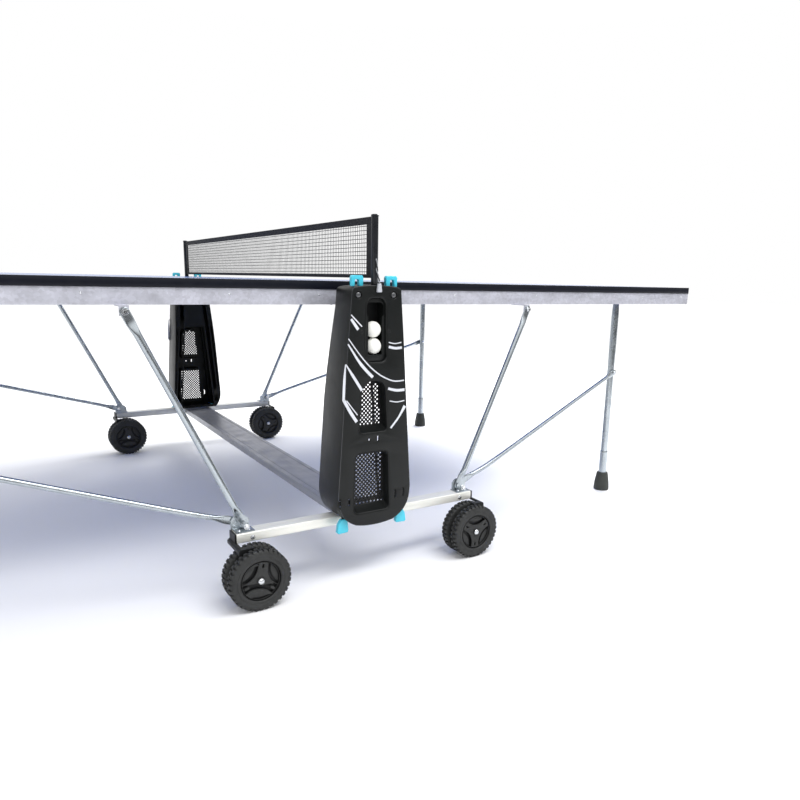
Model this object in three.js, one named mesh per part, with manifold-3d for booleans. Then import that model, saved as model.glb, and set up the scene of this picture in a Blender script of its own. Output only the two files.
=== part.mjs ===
// Folding, roll-away table tennis table.
// Millimetres, +Z up. X runs along the table, Y across it, the floor is Z = 0
// and the net stands over X = 0. The near side is -Y.
import * as THREE from 'three';
import { mergeVertices } from 'three/addons/utils/BufferGeometryUtils.js';
import Module from 'manifold-3d';

const wasm = await Module();
wasm.setup();

// ---- Driving dimensions ---------------------------------------------------
const GAP = 0.3;                    // clearance between touching pieces

const TABLE_LENGTH = 2740;
const TABLE_WIDTH = 1525;
const TABLE_HEIGHT = 760;
const HALF_JOIN = 3;                // each half starts this far from the centre
const PANEL_THICK = 7;
const TRIM_WIDTH = 2.8;
const TRIM_DEPTH = 21;
const SKIRT_BOTTOM = 702;
const SKIRT_THICK = 3;

const NET_TOP = 912.5;
const NET_BOTTOM = 769;
const POST_Y = 868;
const POST_RADIUS = 8.5;

const BEAM_Y = 814;                 // centre line of a lower beam
const BEAM_HALF = 20;
const BEAM_BOTTOM = 146;
const BEAM_TOP = 170;
const BEAM_END = 346;
const BEAM_WALL = 2.5;
const RAIL_HALF = 53;
const RAIL_TOP = 166;
const RAIL_BOTTOM = 144;
const RAIL_WALL = 2.5;

const WHEEL_RADIUS = 75;
const WHEEL_WIDTH = 24;
const WHEEL_X = 314.5;
const WHEEL_OFFSET = -61;           // twin wheels sit this far in Y from a beam
const TWIN_SPACING = 42;            // between the two wheels' middles
const AXLE_RADIUS = 5;

const MODULE_FRONT = 884;
const MODULE_BACK = 767;
const MODULE_WALL = 3;
const MODULE_FACE = 3.7;            // front plate
const BACK_LINE = [                 // the shell's back leans forward, as [y, z]
  [MODULE_BACK, 470], [774, 545], [798, 700],
];
const SLOT_HALF = 8.2;              // roller slots in the shell's back

const ARM_FOOT = [320, 184];        // pivots as [x, z]
const ARM_HEAD = [554.5, 689];
const STRUT_FOOT = [337, 190];
const STRUT_HEAD = [1133, 450];
const LEG_PIVOT = [1133, 738];
const ROLLER_REST = [40, 722];
const ROLLER_STORED = [83.4, 204];
const LEG_Y = 634;
const HOOP_RADIUS = 10;             // top bar of a leg frame
const LEG_RADIUS = 12.5;
const SHOE_RADIUS = 14.5;           // thicker lower end of a leg
const SHOE_TOP = 152;
const LEG_NECK = 12;                // the leg thins this far below its pivot
const FOOT_HEIGHT = 68;
const PIN_RADIUS = 4;
const EYE_RADIUS = 4.6;
const ARM_Y = 803.3;
const STRUT_Y = 793.7;
const STRUT_HEAD_Y = 651;

const NEAR = -1;
const FAR = 1;
const LEFT = -1;
const RIGHT = 1;
// The wheels make the near side wider than the far side, so the whole table
// is moved in Y until the origin is at the middle of its box.
const AXLE_CAP = 5;
const NEAR_REACH = BEAM_Y - WHEEL_OFFSET + (TWIN_SPACING + WHEEL_WIDTH) / 2 + AXLE_CAP;
const CENTRING_Y = (NEAR_REACH - MODULE_FRONT) / 2;

// ---- Looks ----------------------------------------------------------------
const looks = {
  zinc: { color: 0xc3c6ca, roughness: 0.42, metalness: 0.8 },
  beam: { color: 0xdcdcd6, roughness: 0.35, metalness: 0.7 },
  rail: { color: 0x9a9ba0, roughness: 0.45, metalness: 0.7 },
  skirt: { color: 0xcbccd6, roughness: 0.5, metalness: 0.5 },
  edge: { color: 0x10131c, roughness: 0.35, metalness: 0.0 },
  top: { color: 0x1f4f9c, roughness: 0.4, metalness: 0.0 },
  shell: { color: 0x1c1e1f, roughness: 0.5, metalness: 0.0 },
  tyre: { color: 0x2c2d2e, roughness: 0.7, metalness: 0.0 },
  foot: { color: 0x242723, roughness: 0.6, metalness: 0.0 },
  latch: { color: 0x5ad0e2, roughness: 0.4, metalness: 0.0 },
  net: { color: 0x17191c, roughness: 0.9, metalness: 0.0 },
  post: { color: 0x33363a, roughness: 0.5, metalness: 0.2 },
  cord: { color: 0x3a3d40, roughness: 0.9, metalness: 0.0 },
  clip: { color: 0xb9bcc2, roughness: 0.5, metalness: 0.0 },
  ball: { color: 0xf4f4f0, roughness: 0.5, metalness: 0.0 },
};

const table = new THREE.Group();
table.position.y = CENTRING_Y;

function addPiece(name, geometry, look) {
  const mesh = new THREE.Mesh(geometry, new THREE.MeshStandardMaterial(looks[look]));
  mesh.name = name;
  table.add(mesh);
}

// ---- Joining and cutting ----------------------------------------------------
function solid(geometry) {
  const bare = geometry.clone();
  bare.deleteAttribute('normal');
  bare.deleteAttribute('uv');
  const merged = mergeVertices(bare, 1e-4);
  return new wasm.Manifold(new wasm.Mesh({
    numProp: 3,
    vertProperties: new Float32Array(merged.attributes.position.array),
    triVerts: new Uint32Array(merged.index.array),
  }));
}

function geometryOf(manifold) {
  const mesh = manifold.getMesh();
  const geometry = new THREE.BufferGeometry();
  geometry.setAttribute('position', new THREE.BufferAttribute(mesh.vertProperties, 3));
  geometry.setIndex(new THREE.BufferAttribute(mesh.triVerts, 1));
  geometry.computeVertexNormals();
  return geometry;
}

function join(...geometries) {
  return geometries.map(solid).reduce((whole, part) => whole.add(part));
}

function cut(body, ...geometries) {
  return geometries.map(solid).reduce((rest, tool) => rest.subtract(tool), body);
}

// ---- Basic shapes -----------------------------------------------------------
function span(a, b) {
  return [Math.min(a, b), Math.max(a, b)];
}

function box(xs, ys, zs) {
  const [x0, x1] = span(...xs);
  const [y0, y1] = span(...ys);
  const [z0, z1] = span(...zs);
  const geometry = new THREE.BoxGeometry(x1 - x0, y1 - y0, z1 - z0);
  return geometry.translate((x0 + x1) / 2, (y0 + y1) / 2, (z0 + z1) / 2);
}

// A cylinder along Y, centred on [x, z].
function bar([x, z], radius, ys, sides = 10) {
  const [y0, y1] = span(...ys);
  const geometry = new THREE.CylinderGeometry(radius, radius, y1 - y0, sides);
  return geometry.translate(x, (y0 + y1) / 2, z);
}

// An outline drawn in X and Z, as thick as the span in Y.
function plate(shape, ys, curveSegments = 4) {
  const [y0, y1] = span(...ys);
  const geometry = new THREE.ExtrudeGeometry(shape, {
    depth: y1 - y0, bevelEnabled: false, curveSegments,
  });
  return geometry.rotateX(Math.PI / 2).translate(0, y1, 0);
}

function polygon(points) {
  return new THREE.Shape(points.map(([x, z]) => new THREE.Vector2(x, z)));
}

function tube(curve, radius, steps, sides = 8) {
  const section = new THREE.Shape();
  section.absarc(0, 0, radius, 0, 2 * Math.PI);
  return new THREE.ExtrudeGeometry(section, {
    steps, extrudePath: curve, curveSegments: sides / 2, bevelEnabled: false,
  });
}

// A slot with round ends from one point to another in X and Z.
function slotTool([xa, za], [xb, zb], halfWidth, ys) {
  const along = new THREE.Vector2(xb - xa, zb - za).normalize().multiplyScalar(halfWidth);
  const side = new THREE.Vector2(-along.y, along.x);
  return [
    plate(polygon([
      [xa + side.x, za + side.y], [xa - side.x, za - side.y],
      [xb - side.x, zb - side.y], [xb + side.x, zb + side.y],
    ]), ys),
    bar([xa, za], halfWidth, ys, 12),
    bar([xb, zb], halfWidth, ys, 12),
  ];
}

function sideName(sx) {
  return sx === RIGHT ? 'right' : 'left';
}

function endName(sy) {
  return sy === NEAR ? 'near' : 'far';
}

const corners = [[LEFT, NEAR], [RIGHT, NEAR], [LEFT, FAR], [RIGHT, FAR]];

// ---- Lower frame ------------------------------------------------------------
for (const sy of [NEAR, FAR]) {
  const ys = [sy * (BEAM_Y - BEAM_HALF), sy * (BEAM_Y + BEAM_HALF)];
  const bore = [sy * (BEAM_Y - BEAM_HALF + BEAM_WALL), sy * (BEAM_Y + BEAM_HALF - BEAM_WALL)];
  const outside = solid(box([-BEAM_END, BEAM_END], ys, [BEAM_BOTTOM, BEAM_TOP]));
  const inside = box([-BEAM_END - 1, BEAM_END + 1], bore,
    [BEAM_BOTTOM + BEAM_WALL, BEAM_TOP - BEAM_WALL]);
  addPiece(`${endName(sy)}_beam`, geometryOf(cut(outside, inside)), 'beam');
}

// The rail is a folded channel, open below, with two shallow grooves on top.
function railProfile() {
  const w = RAIL_HALF;
  const t = RAIL_WALL;
  const groove = 1;
  const shape = new THREE.Shape();
  shape.moveTo(-w, RAIL_BOTTOM);
  shape.lineTo(-w + 9, RAIL_BOTTOM);
  shape.lineTo(-w + 9, RAIL_BOTTOM + t);
  shape.lineTo(-w + t, RAIL_BOTTOM + t);
  shape.lineTo(-w + t, RAIL_TOP - t);
  shape.lineTo(w - t, RAIL_TOP - t);
  shape.lineTo(w - t, RAIL_BOTTOM + t);
  shape.lineTo(w - 9, RAIL_BOTTOM + t);
  shape.lineTo(w - 9, RAIL_BOTTOM);
  shape.lineTo(w, RAIL_BOTTOM);
  shape.lineTo(w, RAIL_TOP - 1.5);
  shape.lineTo(w - 1.5, RAIL_TOP);
  for (const x of [w - 14, -w + 18]) {
    shape.lineTo(x, RAIL_TOP);
    shape.lineTo(x - 1, RAIL_TOP - groove);
    shape.lineTo(x - 3, RAIL_TOP - groove);
    shape.lineTo(x - 4, RAIL_TOP);
  }
  shape.lineTo(-w + 1.5, RAIL_TOP);
  shape.lineTo(-w, RAIL_TOP - 1.5);
  return shape;
}

const railEnd = BEAM_Y - BEAM_HALF - GAP;
addPiece('center_rail', plate(railProfile(), [-railEnd, railEnd]), 'rail');

// ---- Wheels, their carriers and axles -----------------------------------------
// A carrier plugs into the beam's end, crosses just over the inner wheel's shoulder
// and comes down between the two wheels to the axle.
function carrier(sx, sy) {
  const hubY = sy * BEAM_Y + WHEEL_OFFSET;
  const plugY = [sy * BEAM_Y - BEAM_HALF + BEAM_WALL + GAP, sy * BEAM_Y + BEAM_HALF - BEAM_WALL - GAP];
  const stemY = [hubY - 7.5, hubY + 7.5];
  const beamY = [sy * BEAM_Y - BEAM_HALF, sy * BEAM_Y + BEAM_HALF];
  const crossing = polygon([
    [sx * (BEAM_END + GAP), 150], [sx * (BEAM_END + GAP), 144.8], [sx * 357, 138],
    [sx * 357, 146], [sx * 352, 150],
  ]);
  const stem = polygon([
    [sx * 357, 146], [sx * 352, 150], [sx * 322, 150], [sx * 316, 120], [sx * 299, 86],
    [sx * 300, 66], [sx * 312, 58], [sx * 326, 62], [sx * 334, 80], [sx * 357, 138],
  ]);
  const body = join(
    box([sx * (BEAM_END - 16), sx * (BEAM_END + 2)], plugY,
      [BEAM_BOTTOM + BEAM_WALL + GAP, BEAM_TOP - BEAM_WALL - GAP]),
    box([sx * (BEAM_END + GAP), sx * (BEAM_END + 5)], beamY, [BEAM_BOTTOM, BEAM_TOP]),
    plate(crossing, [stemY[0], beamY[1]]),
    plate(stem, stemY),
  );
  return cut(body, bar([sx * WHEEL_X, WHEEL_RADIUS], AXLE_RADIUS + GAP, [stemY[0] - 2, stemY[1] + 2]));
}

// One wheel: rubber tread, flat sidewall, dished hub and bored boss.
function wheelProfile() {
  const w = WHEEL_WIDTH / 2;
  const half = [
    [AXLE_RADIUS + 0.6, w], [14, w], [18, w - 7], [50, w - 7], [54, w],
  ];
  const points = half.map(([r, y]) => new THREE.Vector2(r, y));
  const rim = [new THREE.Vector2(WHEEL_RADIUS, w), new THREE.Vector2(WHEEL_RADIUS, -w)];
  const back = half.slice().reverse().map(([r, y]) => new THREE.Vector2(r, -y));
  const loop = [...points, ...rim, ...back];
  loop.reverse();
  return [...loop, loop[0].clone()];
}

const WHEEL_SEGMENTS = 16;
for (const [sx, sy] of corners) {
  const hubY = sy * BEAM_Y + WHEEL_OFFSET;
  const where = `${endName(sy)}_${sideName(sx)}`;
  addPiece(`wheel_carrier_${where}`, geometryOf(carrier(sx, sy)), 'shell');
  [['outer', -1], ['inner', 1]].forEach(([which, side]) => {
    const wheel = new THREE.LatheGeometry(wheelProfile(), WHEEL_SEGMENTS);
    wheel.translate(sx * WHEEL_X, hubY + side * TWIN_SPACING / 2, WHEEL_RADIUS);
    addPiece(`wheel_${where}_${which}`, wheel, 'tyre');
  });
  const reach = (TWIN_SPACING + WHEEL_WIDTH) / 2;
  const halfAxle = [[0, reach + AXLE_CAP], [5, reach + AXLE_CAP - 1], [7.5, reach + 0.4],
    [AXLE_RADIUS, reach + 0.4]];
  const axlePoints = [...halfAxle, ...halfAxle.slice().reverse().map(([r, y]) => [r, -y])];
  axlePoints.reverse();
  const axle = new THREE.LatheGeometry(axlePoints.map(([r, y]) => new THREE.Vector2(r, y)), 10);
  axle.translate(sx * WHEEL_X, hubY, WHEEL_RADIUS);
  addPiece(`axle_${where}`, axle, 'zinc');
}

// ---- Hinge brackets on the beams ------------------------------------------------
for (const [sx, sy] of corners) {
  const foot = BEAM_TOP + GAP;
  const upright = polygon([
    [sx * 304, foot], [sx * 349, foot], [sx * 349, 194], [sx * 342, 204],
    [sx * 314, 202], [sx * 304, 192],
  ]);
  const armPin = [sx * ARM_FOOT[0], ARM_FOOT[1]];
  const strutPin = [sx * STRUT_FOOT[0], STRUT_FOOT[1]];
  const bracket = join(
    plate(upright, [sy * 797, sy * 800]),
    box([sx * 300, sx * 345], [sy * 797, sy * 831], [foot, foot + 2.4]),
    bar(armPin, PIN_RADIUS, [sy * 799, sy * 808]),
    bar(armPin, 7, [sy * 806.7, sy * 809.5]),
    bar(strutPin, PIN_RADIUS, [sy * 787, sy * 798]),
    bar(strutPin, 7, [sy * 787, sy * 790.3]),
  );
  addPiece(`hinge_bracket_${endName(sy)}_${sideName(sx)}`, geometryOf(bracket), 'zinc');
}

// ---- Links: arms to the table halves, struts to the legs ---------------------------
// A round tube with a flattened eye at each end.
function link(foot, head, footY, headY, tubeFootY, tubeHeadY, radius, bow) {
  const a = new THREE.Vector2(...foot);
  const b = new THREE.Vector2(...head);
  const dir = b.clone().sub(a).normalize();
  const side = new THREE.Vector2(-dir.y, dir.x);
  const at = (s, y) => new THREE.Vector3(a.x + dir.x * s, y, a.y + dir.y * s);
  const length = a.distanceTo(b);
  const run = [at(30, tubeFootY), at(length - 30, tubeHeadY)];
  if (bow) {
    run.splice(1, 0, at(70, tubeFootY), at(130, THREE.MathUtils.lerp(tubeFootY, tubeHeadY, 0.06)));
  }
  const curve = bow ? new THREE.CatmullRomCurve3(run, false, 'centripetal')
    : new THREE.LineCurve3(...run);
  const tab = (centre, sign, y) => {
    const w = 10.5;
    const reach = 44;
    const tip = centre.clone().addScaledVector(dir, sign * reach);
    return [
      bar([centre.x, centre.y], w, [y - 3, y + 3]),
      plate(polygon([
        [centre.x + side.x * w, centre.y + side.y * w], [centre.x - side.x * w, centre.y - side.y * w],
        [tip.x - side.x * 6, tip.y - side.y * 6], [tip.x + side.x * 6, tip.y + side.y * 6],
      ]), [y - 3, y + 3]),
    ];
  };
  const body = join(tube(curve, radius, bow ? 7 : 1), ...tab(a, 1, footY), ...tab(b, -1, headY));
  const eye = (c, y) => bar([c.x, c.y], EYE_RADIUS, [y - 12, y + 12]);
  return cut(body, eye(a, footY), eye(b, headY));
}

for (const [sx, sy] of corners) {
  const where = `${endName(sy)}_${sideName(sx)}`;
  const arm = link([sx * ARM_FOOT[0], ARM_FOOT[1]], [sx * ARM_HEAD[0], ARM_HEAD[1]],
    sy * ARM_Y, sy * ARM_Y, sy * (ARM_Y + 2.7), sy * (ARM_Y + 2.7), 8, false);
  addPiece(`arm_${where}`, geometryOf(arm), 'zinc');
  const strut = link([sx * STRUT_FOOT[0], STRUT_FOOT[1]], [sx * STRUT_HEAD[0], STRUT_HEAD[1]],
    sy * STRUT_Y, sy * STRUT_HEAD_Y, sy * (STRUT_Y - 3.5), sy * (STRUT_HEAD_Y + 3.5), 7, true);
  addPiece(`strut_${where}`, geometryOf(strut), 'zinc');
}

// ---- Table halves -----------------------------------------------------------------
const halfY = TABLE_WIDTH / 2;
const halfX = TABLE_LENGTH / 2;
const innerY = halfY - TRIM_WIDTH - GAP;
const panelBottom = TABLE_HEIGHT - PANEL_THICK;

function ring(sx, inset, thick, zs) {
  const x0 = HALF_JOIN + inset;
  const x1 = halfX - inset;
  const y = halfY - inset;
  const outside = solid(box([sx * x0, sx * x1], [-y, y], zs));
  const inside = box([sx * (x0 + thick), sx * (x1 - thick)], [-y + thick, y - thick],
    [zs[0] - 1, zs[1] + 1]);
  return cut(outside, inside);
}

for (const sx of [LEFT, RIGHT]) {
  const side = sideName(sx);
  const inset = TRIM_WIDTH + GAP;
  const panel = box([sx * (HALF_JOIN + inset), sx * (halfX - inset)], [-innerY, innerY],
    [panelBottom, TABLE_HEIGHT]);
  addPiece(`panel_${side}`, panel, 'top');
  addPiece(`edge_trim_${side}`,
    geometryOf(ring(sx, 0, TRIM_WIDTH, [TABLE_HEIGHT - TRIM_DEPTH, TABLE_HEIGHT])), 'edge');

  // Steel frame: skirt, two cross straps, outriggers for the arms, clips for the leg hinge.
  let frame = ring(sx, inset, SKIRT_THICK, [SKIRT_BOTTOM, panelBottom - GAP]);
  const strapZ = [panelBottom - 4.2, panelBottom - 2 * GAP];
  for (const x of [ARM_HEAD[0], LEG_PIVOT[0]]) {
    frame = frame.add(solid(box([sx * (x - 22), sx * (x + 22)], [-innerY + 1, innerY - 1], strapZ)));
  }
  for (const sy of [NEAR, FAR]) {
    const ear = [sx * (ARM_HEAD[0] - 10), sx * (ARM_HEAD[0] + 10)];
    const earY = ARM_Y - 3 - GAP;
    frame = frame.add(join(
      box(ear, [sy * 742, sy * earY], [SKIRT_BOTTOM - 2.2, SKIRT_BOTTOM + 0.6]),
      box(ear, [sy * (earY - 3), sy * earY], [681, SKIRT_BOTTOM + 0.6]),
      bar([sx * ARM_HEAD[0], ARM_HEAD[1]], PIN_RADIUS, [sy * (earY - 1), sy * (earY + 8)]),
      bar([sx * ARM_HEAD[0], ARM_HEAD[1]], 7, [sy * (earY + 6.9), sy * (earY + 9)]),
    ));
    const clipY = [sy * 560, sy * 574];
    frame = frame.add(solid(box([sx * (LEG_PIVOT[0] - 18), sx * (LEG_PIVOT[0] + 18)], clipY,
      [722, panelBottom - 2])));
    frame = cut(frame, bar([sx * LEG_PIVOT[0], LEG_PIVOT[1]], HOOP_RADIUS + 0.6, [sy * 555, sy * 580]));
    frame = cut(frame, bar([sx * ROLLER_REST[0], ROLLER_REST[1]], 8, [sy * 740, sy * 770]));
  }
  addPiece(`frame_${side}`, geometryOf(frame), 'skirt');
}

// ---- Roller shafts that carry the halves' inner ends ---------------------------------
for (const sx of [LEFT, RIGHT]) {
  const centre = [sx * ROLLER_REST[0], ROLLER_REST[1]];
  const shaft = join(
    bar(centre, 7, [-848, 848]),
    bar(centre, 10, [-846, -827]),
    bar(centre, 10, [827, 846]),
  );
  addPiece(`roller_shaft_${sideName(sx)}`, geometryOf(shaft), 'zinc');
}

// ---- Legs and feet ----------------------------------------------------------------
for (const sx of [LEFT, RIGHT]) {
  const side = sideName(sx);
  const x = sx * LEG_PIVOT[0];
  const parts = [bar([x, LEG_PIVOT[1]], HOOP_RADIUS, [-LEG_Y, LEG_Y])];
  for (const sy of [NEAR, FAR]) {
    const upright = (radius, z0, z1) => new THREE.CylinderGeometry(radius, radius, z1 - z0, 10)
      .rotateX(Math.PI / 2).translate(x, sy * LEG_Y, (z0 + z1) / 2);
    const neck = LEG_PIVOT[1] - LEG_NECK;
    const elbow = new THREE.SphereGeometry(HOOP_RADIUS, 10, 6);
    elbow.rotateX(Math.PI / 2).translate(x, sy * LEG_Y, LEG_PIVOT[1]);
    const pin = bar([x, STRUT_HEAD[1]], PIN_RADIUS, [sy * (LEG_Y + 5), sy * (STRUT_HEAD_Y + 5)]);
    const head = bar([x, STRUT_HEAD[1]], 7, [sy * (STRUT_HEAD_Y + 3.4), sy * (STRUT_HEAD_Y + 6)]);
    parts.push(upright(SHOE_RADIUS, 6, SHOE_TOP), upright(LEG_RADIUS, SHOE_TOP - 1, neck),
      upright(HOOP_RADIUS, neck - 1, LEG_PIVOT[1]), elbow, pin, head);
    const socket = SHOE_RADIUS + 1;
    const profile = [[0, 0], [26, 0], [28.5, 5], [26.5, 32], [20.5, FOOT_HEIGHT - 3],
      [19, FOOT_HEIGHT], [socket, FOOT_HEIGHT], [socket, 5.6], [0, 5.6],
    ].map(([r, z]) => new THREE.Vector2(r, z));
    const foot = new THREE.LatheGeometry(profile, 12);
    foot.rotateX(Math.PI / 2).translate(x, sy * LEG_Y, 0);
    addPiece(`foot_${endName(sy)}_${side}`, foot, 'foot');
  }
  addPiece(`leg_frame_${side}`, geometryOf(join(...parts)), 'zinc');
}

// ---- Central modules ----------------------------------------------------------------
function moduleOutline(inset) {
  const i = inset;
  const shape = new THREE.Shape();
  shape.moveTo(-58 + i, 748 - i);
  shape.quadraticCurveTo(0, 757 - i, 58 - i, 748 - i);
  shape.quadraticCurveTo(67 - i, 747 - i, 68 - i, 738);
  shape.lineTo(78 - i, 615);
  shape.lineTo(104 - i, 245);
  shape.bezierCurveTo(106 - i, 200, 92 - i, 172 + i, 55, 155 + i);
  shape.quadraticCurveTo(0, 142 + i, -55, 155 + i);
  shape.bezierCurveTo(-92 + i, 172 + i, -106 + i, 200, -104 + i, 245);
  shape.lineTo(-78 + i, 615);
  shape.lineTo(-68 + i, 738);
  shape.quadraticCurveTo(-67 + i, 747 - i, -58 + i, 748 - i);
  return shape;
}

// A prism along X, drawn in Y and Z, used to slope the back of the shell.
function prism(points, halfWidth) {
  const geometry = new THREE.ExtrudeGeometry(polygon(points), {
    depth: 2 * halfWidth, bevelEnabled: false,
  });
  return geometry.translate(0, 0, -halfWidth)
    .applyMatrix4(new THREE.Matrix4().makeBasis(
      new THREE.Vector3(0, 1, 0), new THREE.Vector3(0, 0, 1), new THREE.Vector3(1, 0, 0)));
}

const LATCH_Y = 865;
const LATCH_ROOM = 9;
const LATCH_HALF = 6;
const LATCH_ROD = 3.5;
const latchTop = [36.8, 745];
const latchBottom = [85, 160];

// The roller slots' distance from the module's middle at a height.
function trackX(z) {
  const share = (ROLLER_REST[1] - z) / (ROLLER_REST[1] - ROLLER_STORED[1]);
  return ROLLER_REST[0] + (ROLLER_STORED[0] - ROLLER_REST[0]) * share;
}

// The shell's back is open between its slot guides and its side walls.
const WINDOW_TOP = 545;
const MIDDLE_WINDOW_FOOT = 182;
const SIDE_WINDOW_FOOT = 260;
const GUIDE_HALF = SLOT_HALF + 6;
const SIDE_LEDGE = MODULE_WALL + 1.5;
const SIDE_CORNERS = [[78, 615], [104, 245]];

function sideX(z) {
  const [[x0, z0], [x1, z1]] = SIDE_CORNERS;
  return x0 + (x1 - x0) * (z0 - z) / (z0 - z1);
}

function backWindows(ys) {
  const middle = [
    [-trackX(WINDOW_TOP) + GUIDE_HALF, WINDOW_TOP],
    [-trackX(MIDDLE_WINDOW_FOOT) + GUIDE_HALF, MIDDLE_WINDOW_FOOT],
    [trackX(MIDDLE_WINDOW_FOOT) - GUIDE_HALF, MIDDLE_WINDOW_FOOT],
    [trackX(WINDOW_TOP) - GUIDE_HALF, WINDOW_TOP],
  ];
  const sides = [LEFT, RIGHT].map((sx) => [
    [sx * (trackX(WINDOW_TOP) + GUIDE_HALF), WINDOW_TOP],
    [sx * (trackX(SIDE_WINDOW_FOOT) + GUIDE_HALF), SIDE_WINDOW_FOOT],
    [sx * (sideX(SIDE_WINDOW_FOOT) - SIDE_LEDGE), SIDE_WINDOW_FOOT],
    [sx * (sideX(WINDOW_TOP) - SIDE_LEDGE), WINDOW_TOP],
  ]);
  return [middle, ...sides].map((points) => plate(polygon(points), ys));
}

function moduleShell(sy) {
  const back = MODULE_BACK;
  const behind = sy * (back - 5);
  const headY = BACK_LINE[2][0];
  const slope = (t) => [
    ...BACK_LINE.map(([y, z]) => [sy * (y + t), z]),
    [sy * (headY + t), 800], [sy * 700, 800], [sy * 700, 100], [sy * (back + t), 100],
  ];
  const outer = cut(solid(plate(moduleOutline(0), [sy * (MODULE_FRONT - 4), behind])),
    prism(slope(0), 160));
  const inner = cut(solid(plate(moduleOutline(MODULE_WALL), [sy * MODULE_FRONT, behind])),
    prism(slope(MODULE_WALL), 160));
  let shell = cut(outer.subtract(inner), ...backWindows([behind, sy * (BACK_LINE[1][0] + 2 * MODULE_WALL)]));
  const through = [sy * (back - 6), sy * (headY + 20)];
  const latchYs = [sy * (LATCH_Y - LATCH_ROOM), sy * (LATCH_Y + LATCH_ROOM)];
  for (const sx of [LEFT, RIGHT]) {
    shell = cut(shell, ...slotTool([sx * ROLLER_REST[0], ROLLER_REST[1]],
      [sx * ROLLER_STORED[0], ROLLER_STORED[1]], SLOT_HALF, through));
    shell = cut(shell,
      box([sx * 30, sx * 64], latchYs, [735, 770]),
      box([sx * 66, sx * 103], latchYs, [130, 200]));
  }
  return cut(shell,
    box([-200, 200], [sy * (BEAM_Y + BEAM_HALF + 3), sy * (back - 8)], [100, BEAM_TOP + GAP + 0.5]));
}

// Pockets in the front plate: each has a frame of [x0, x1] and [z0, z1].
const POCKET_WALL = 2.2;
const BALL_RADIUS = 20;
const BALL_Y = 862.3;
const RACK_Y = [873.4, 876];        // slotted plate that keeps the balls in
const RACK_SHELF = 585;
const pockets = [
  { xs: [-31, 29], zs: [568, 722], depth: 44.5 },
  { xs: [-46, 33], zs: [393, 521], depth: 31 },
  { xs: [-60, 42], zs: [186, 339], depth: 31 },
];
const [ballPocket] = pockets;

function pocketOutline({ xs, zs }, grow) {
  const [x0, x1] = [xs[0] - grow, xs[1] + grow];
  const [z0, z1] = [zs[0] - grow, zs[1] + grow];
  const r = 12;
  const shape = new THREE.Shape();
  shape.moveTo(x0 + r, z0);
  shape.lineTo(x1 - r, z0);
  shape.quadraticCurveTo(x1, z0, x1, z0 + r);
  shape.lineTo(x1 - 6, z1 - 2 * r);
  shape.quadraticCurveTo(x1 - 8, z1, x1 - 2 * r, z1);
  shape.lineTo(x0 + 2 * r, z1);
  shape.quadraticCurveTo(x0 + 8, z1, x0 + 6, z1 - 2 * r);
  shape.lineTo(x0, z0 + r);
  shape.quadraticCurveTo(x0, z0, x0 + r, z0);
  return shape;
}

// A plate across the ball pocket: a slot narrower than a ball, wide enough at its top
// to put one in, with a shelf behind its foot.
function ballRack(sy) {
  const rack = pocketOutline(ballPocket, POCKET_WALL / 2);
  const slot = [[-20, RACK_SHELF], [18, RACK_SHELF], [18, 677], [23, 682], [22, 706], [16, 712],
    [-18, 712], [-24, 706], [-25, 682], [-20, 677]];
  rack.holes.push(new THREE.Path(slot.map(([x, z]) => new THREE.Vector2(x, z))));
  const shelfY = [sy * (RACK_Y[0] + 1), sy * (MODULE_FRONT - ballPocket.depth + 1)];
  const shelf = solid(plate(pocketOutline(ballPocket, POCKET_WALL / 2), shelfY, 3));
  const above = box([-60, 60], [sy * 800, sy * 900], [RACK_SHELF, 760]);
  return solid(plate(rack, RACK_Y.map((y) => sy * y), 3)).add(cut(shelf, above));
}

function frontPlate(sy) {
  const front = sy * MODULE_FRONT;
  const rear = sy * (MODULE_FRONT - MODULE_FACE);
  let body = solid(plate(moduleOutline(0), [front, rear]));
  for (const pocket of pockets) {
    const floor = sy * (MODULE_FRONT - pocket.depth);
    body = body.add(solid(plate(pocketOutline(pocket, POCKET_WALL), [rear, floor], 3)));
  }
  for (const pocket of pockets) {
    const inside = [sy * (MODULE_FRONT + 1), sy * (MODULE_FRONT - pocket.depth + POCKET_WALL)];
    body = cut(body, plate(pocketOutline(pocket, 0), inside, 3));
  }
  return body.add(ballRack(sy));
}

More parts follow.
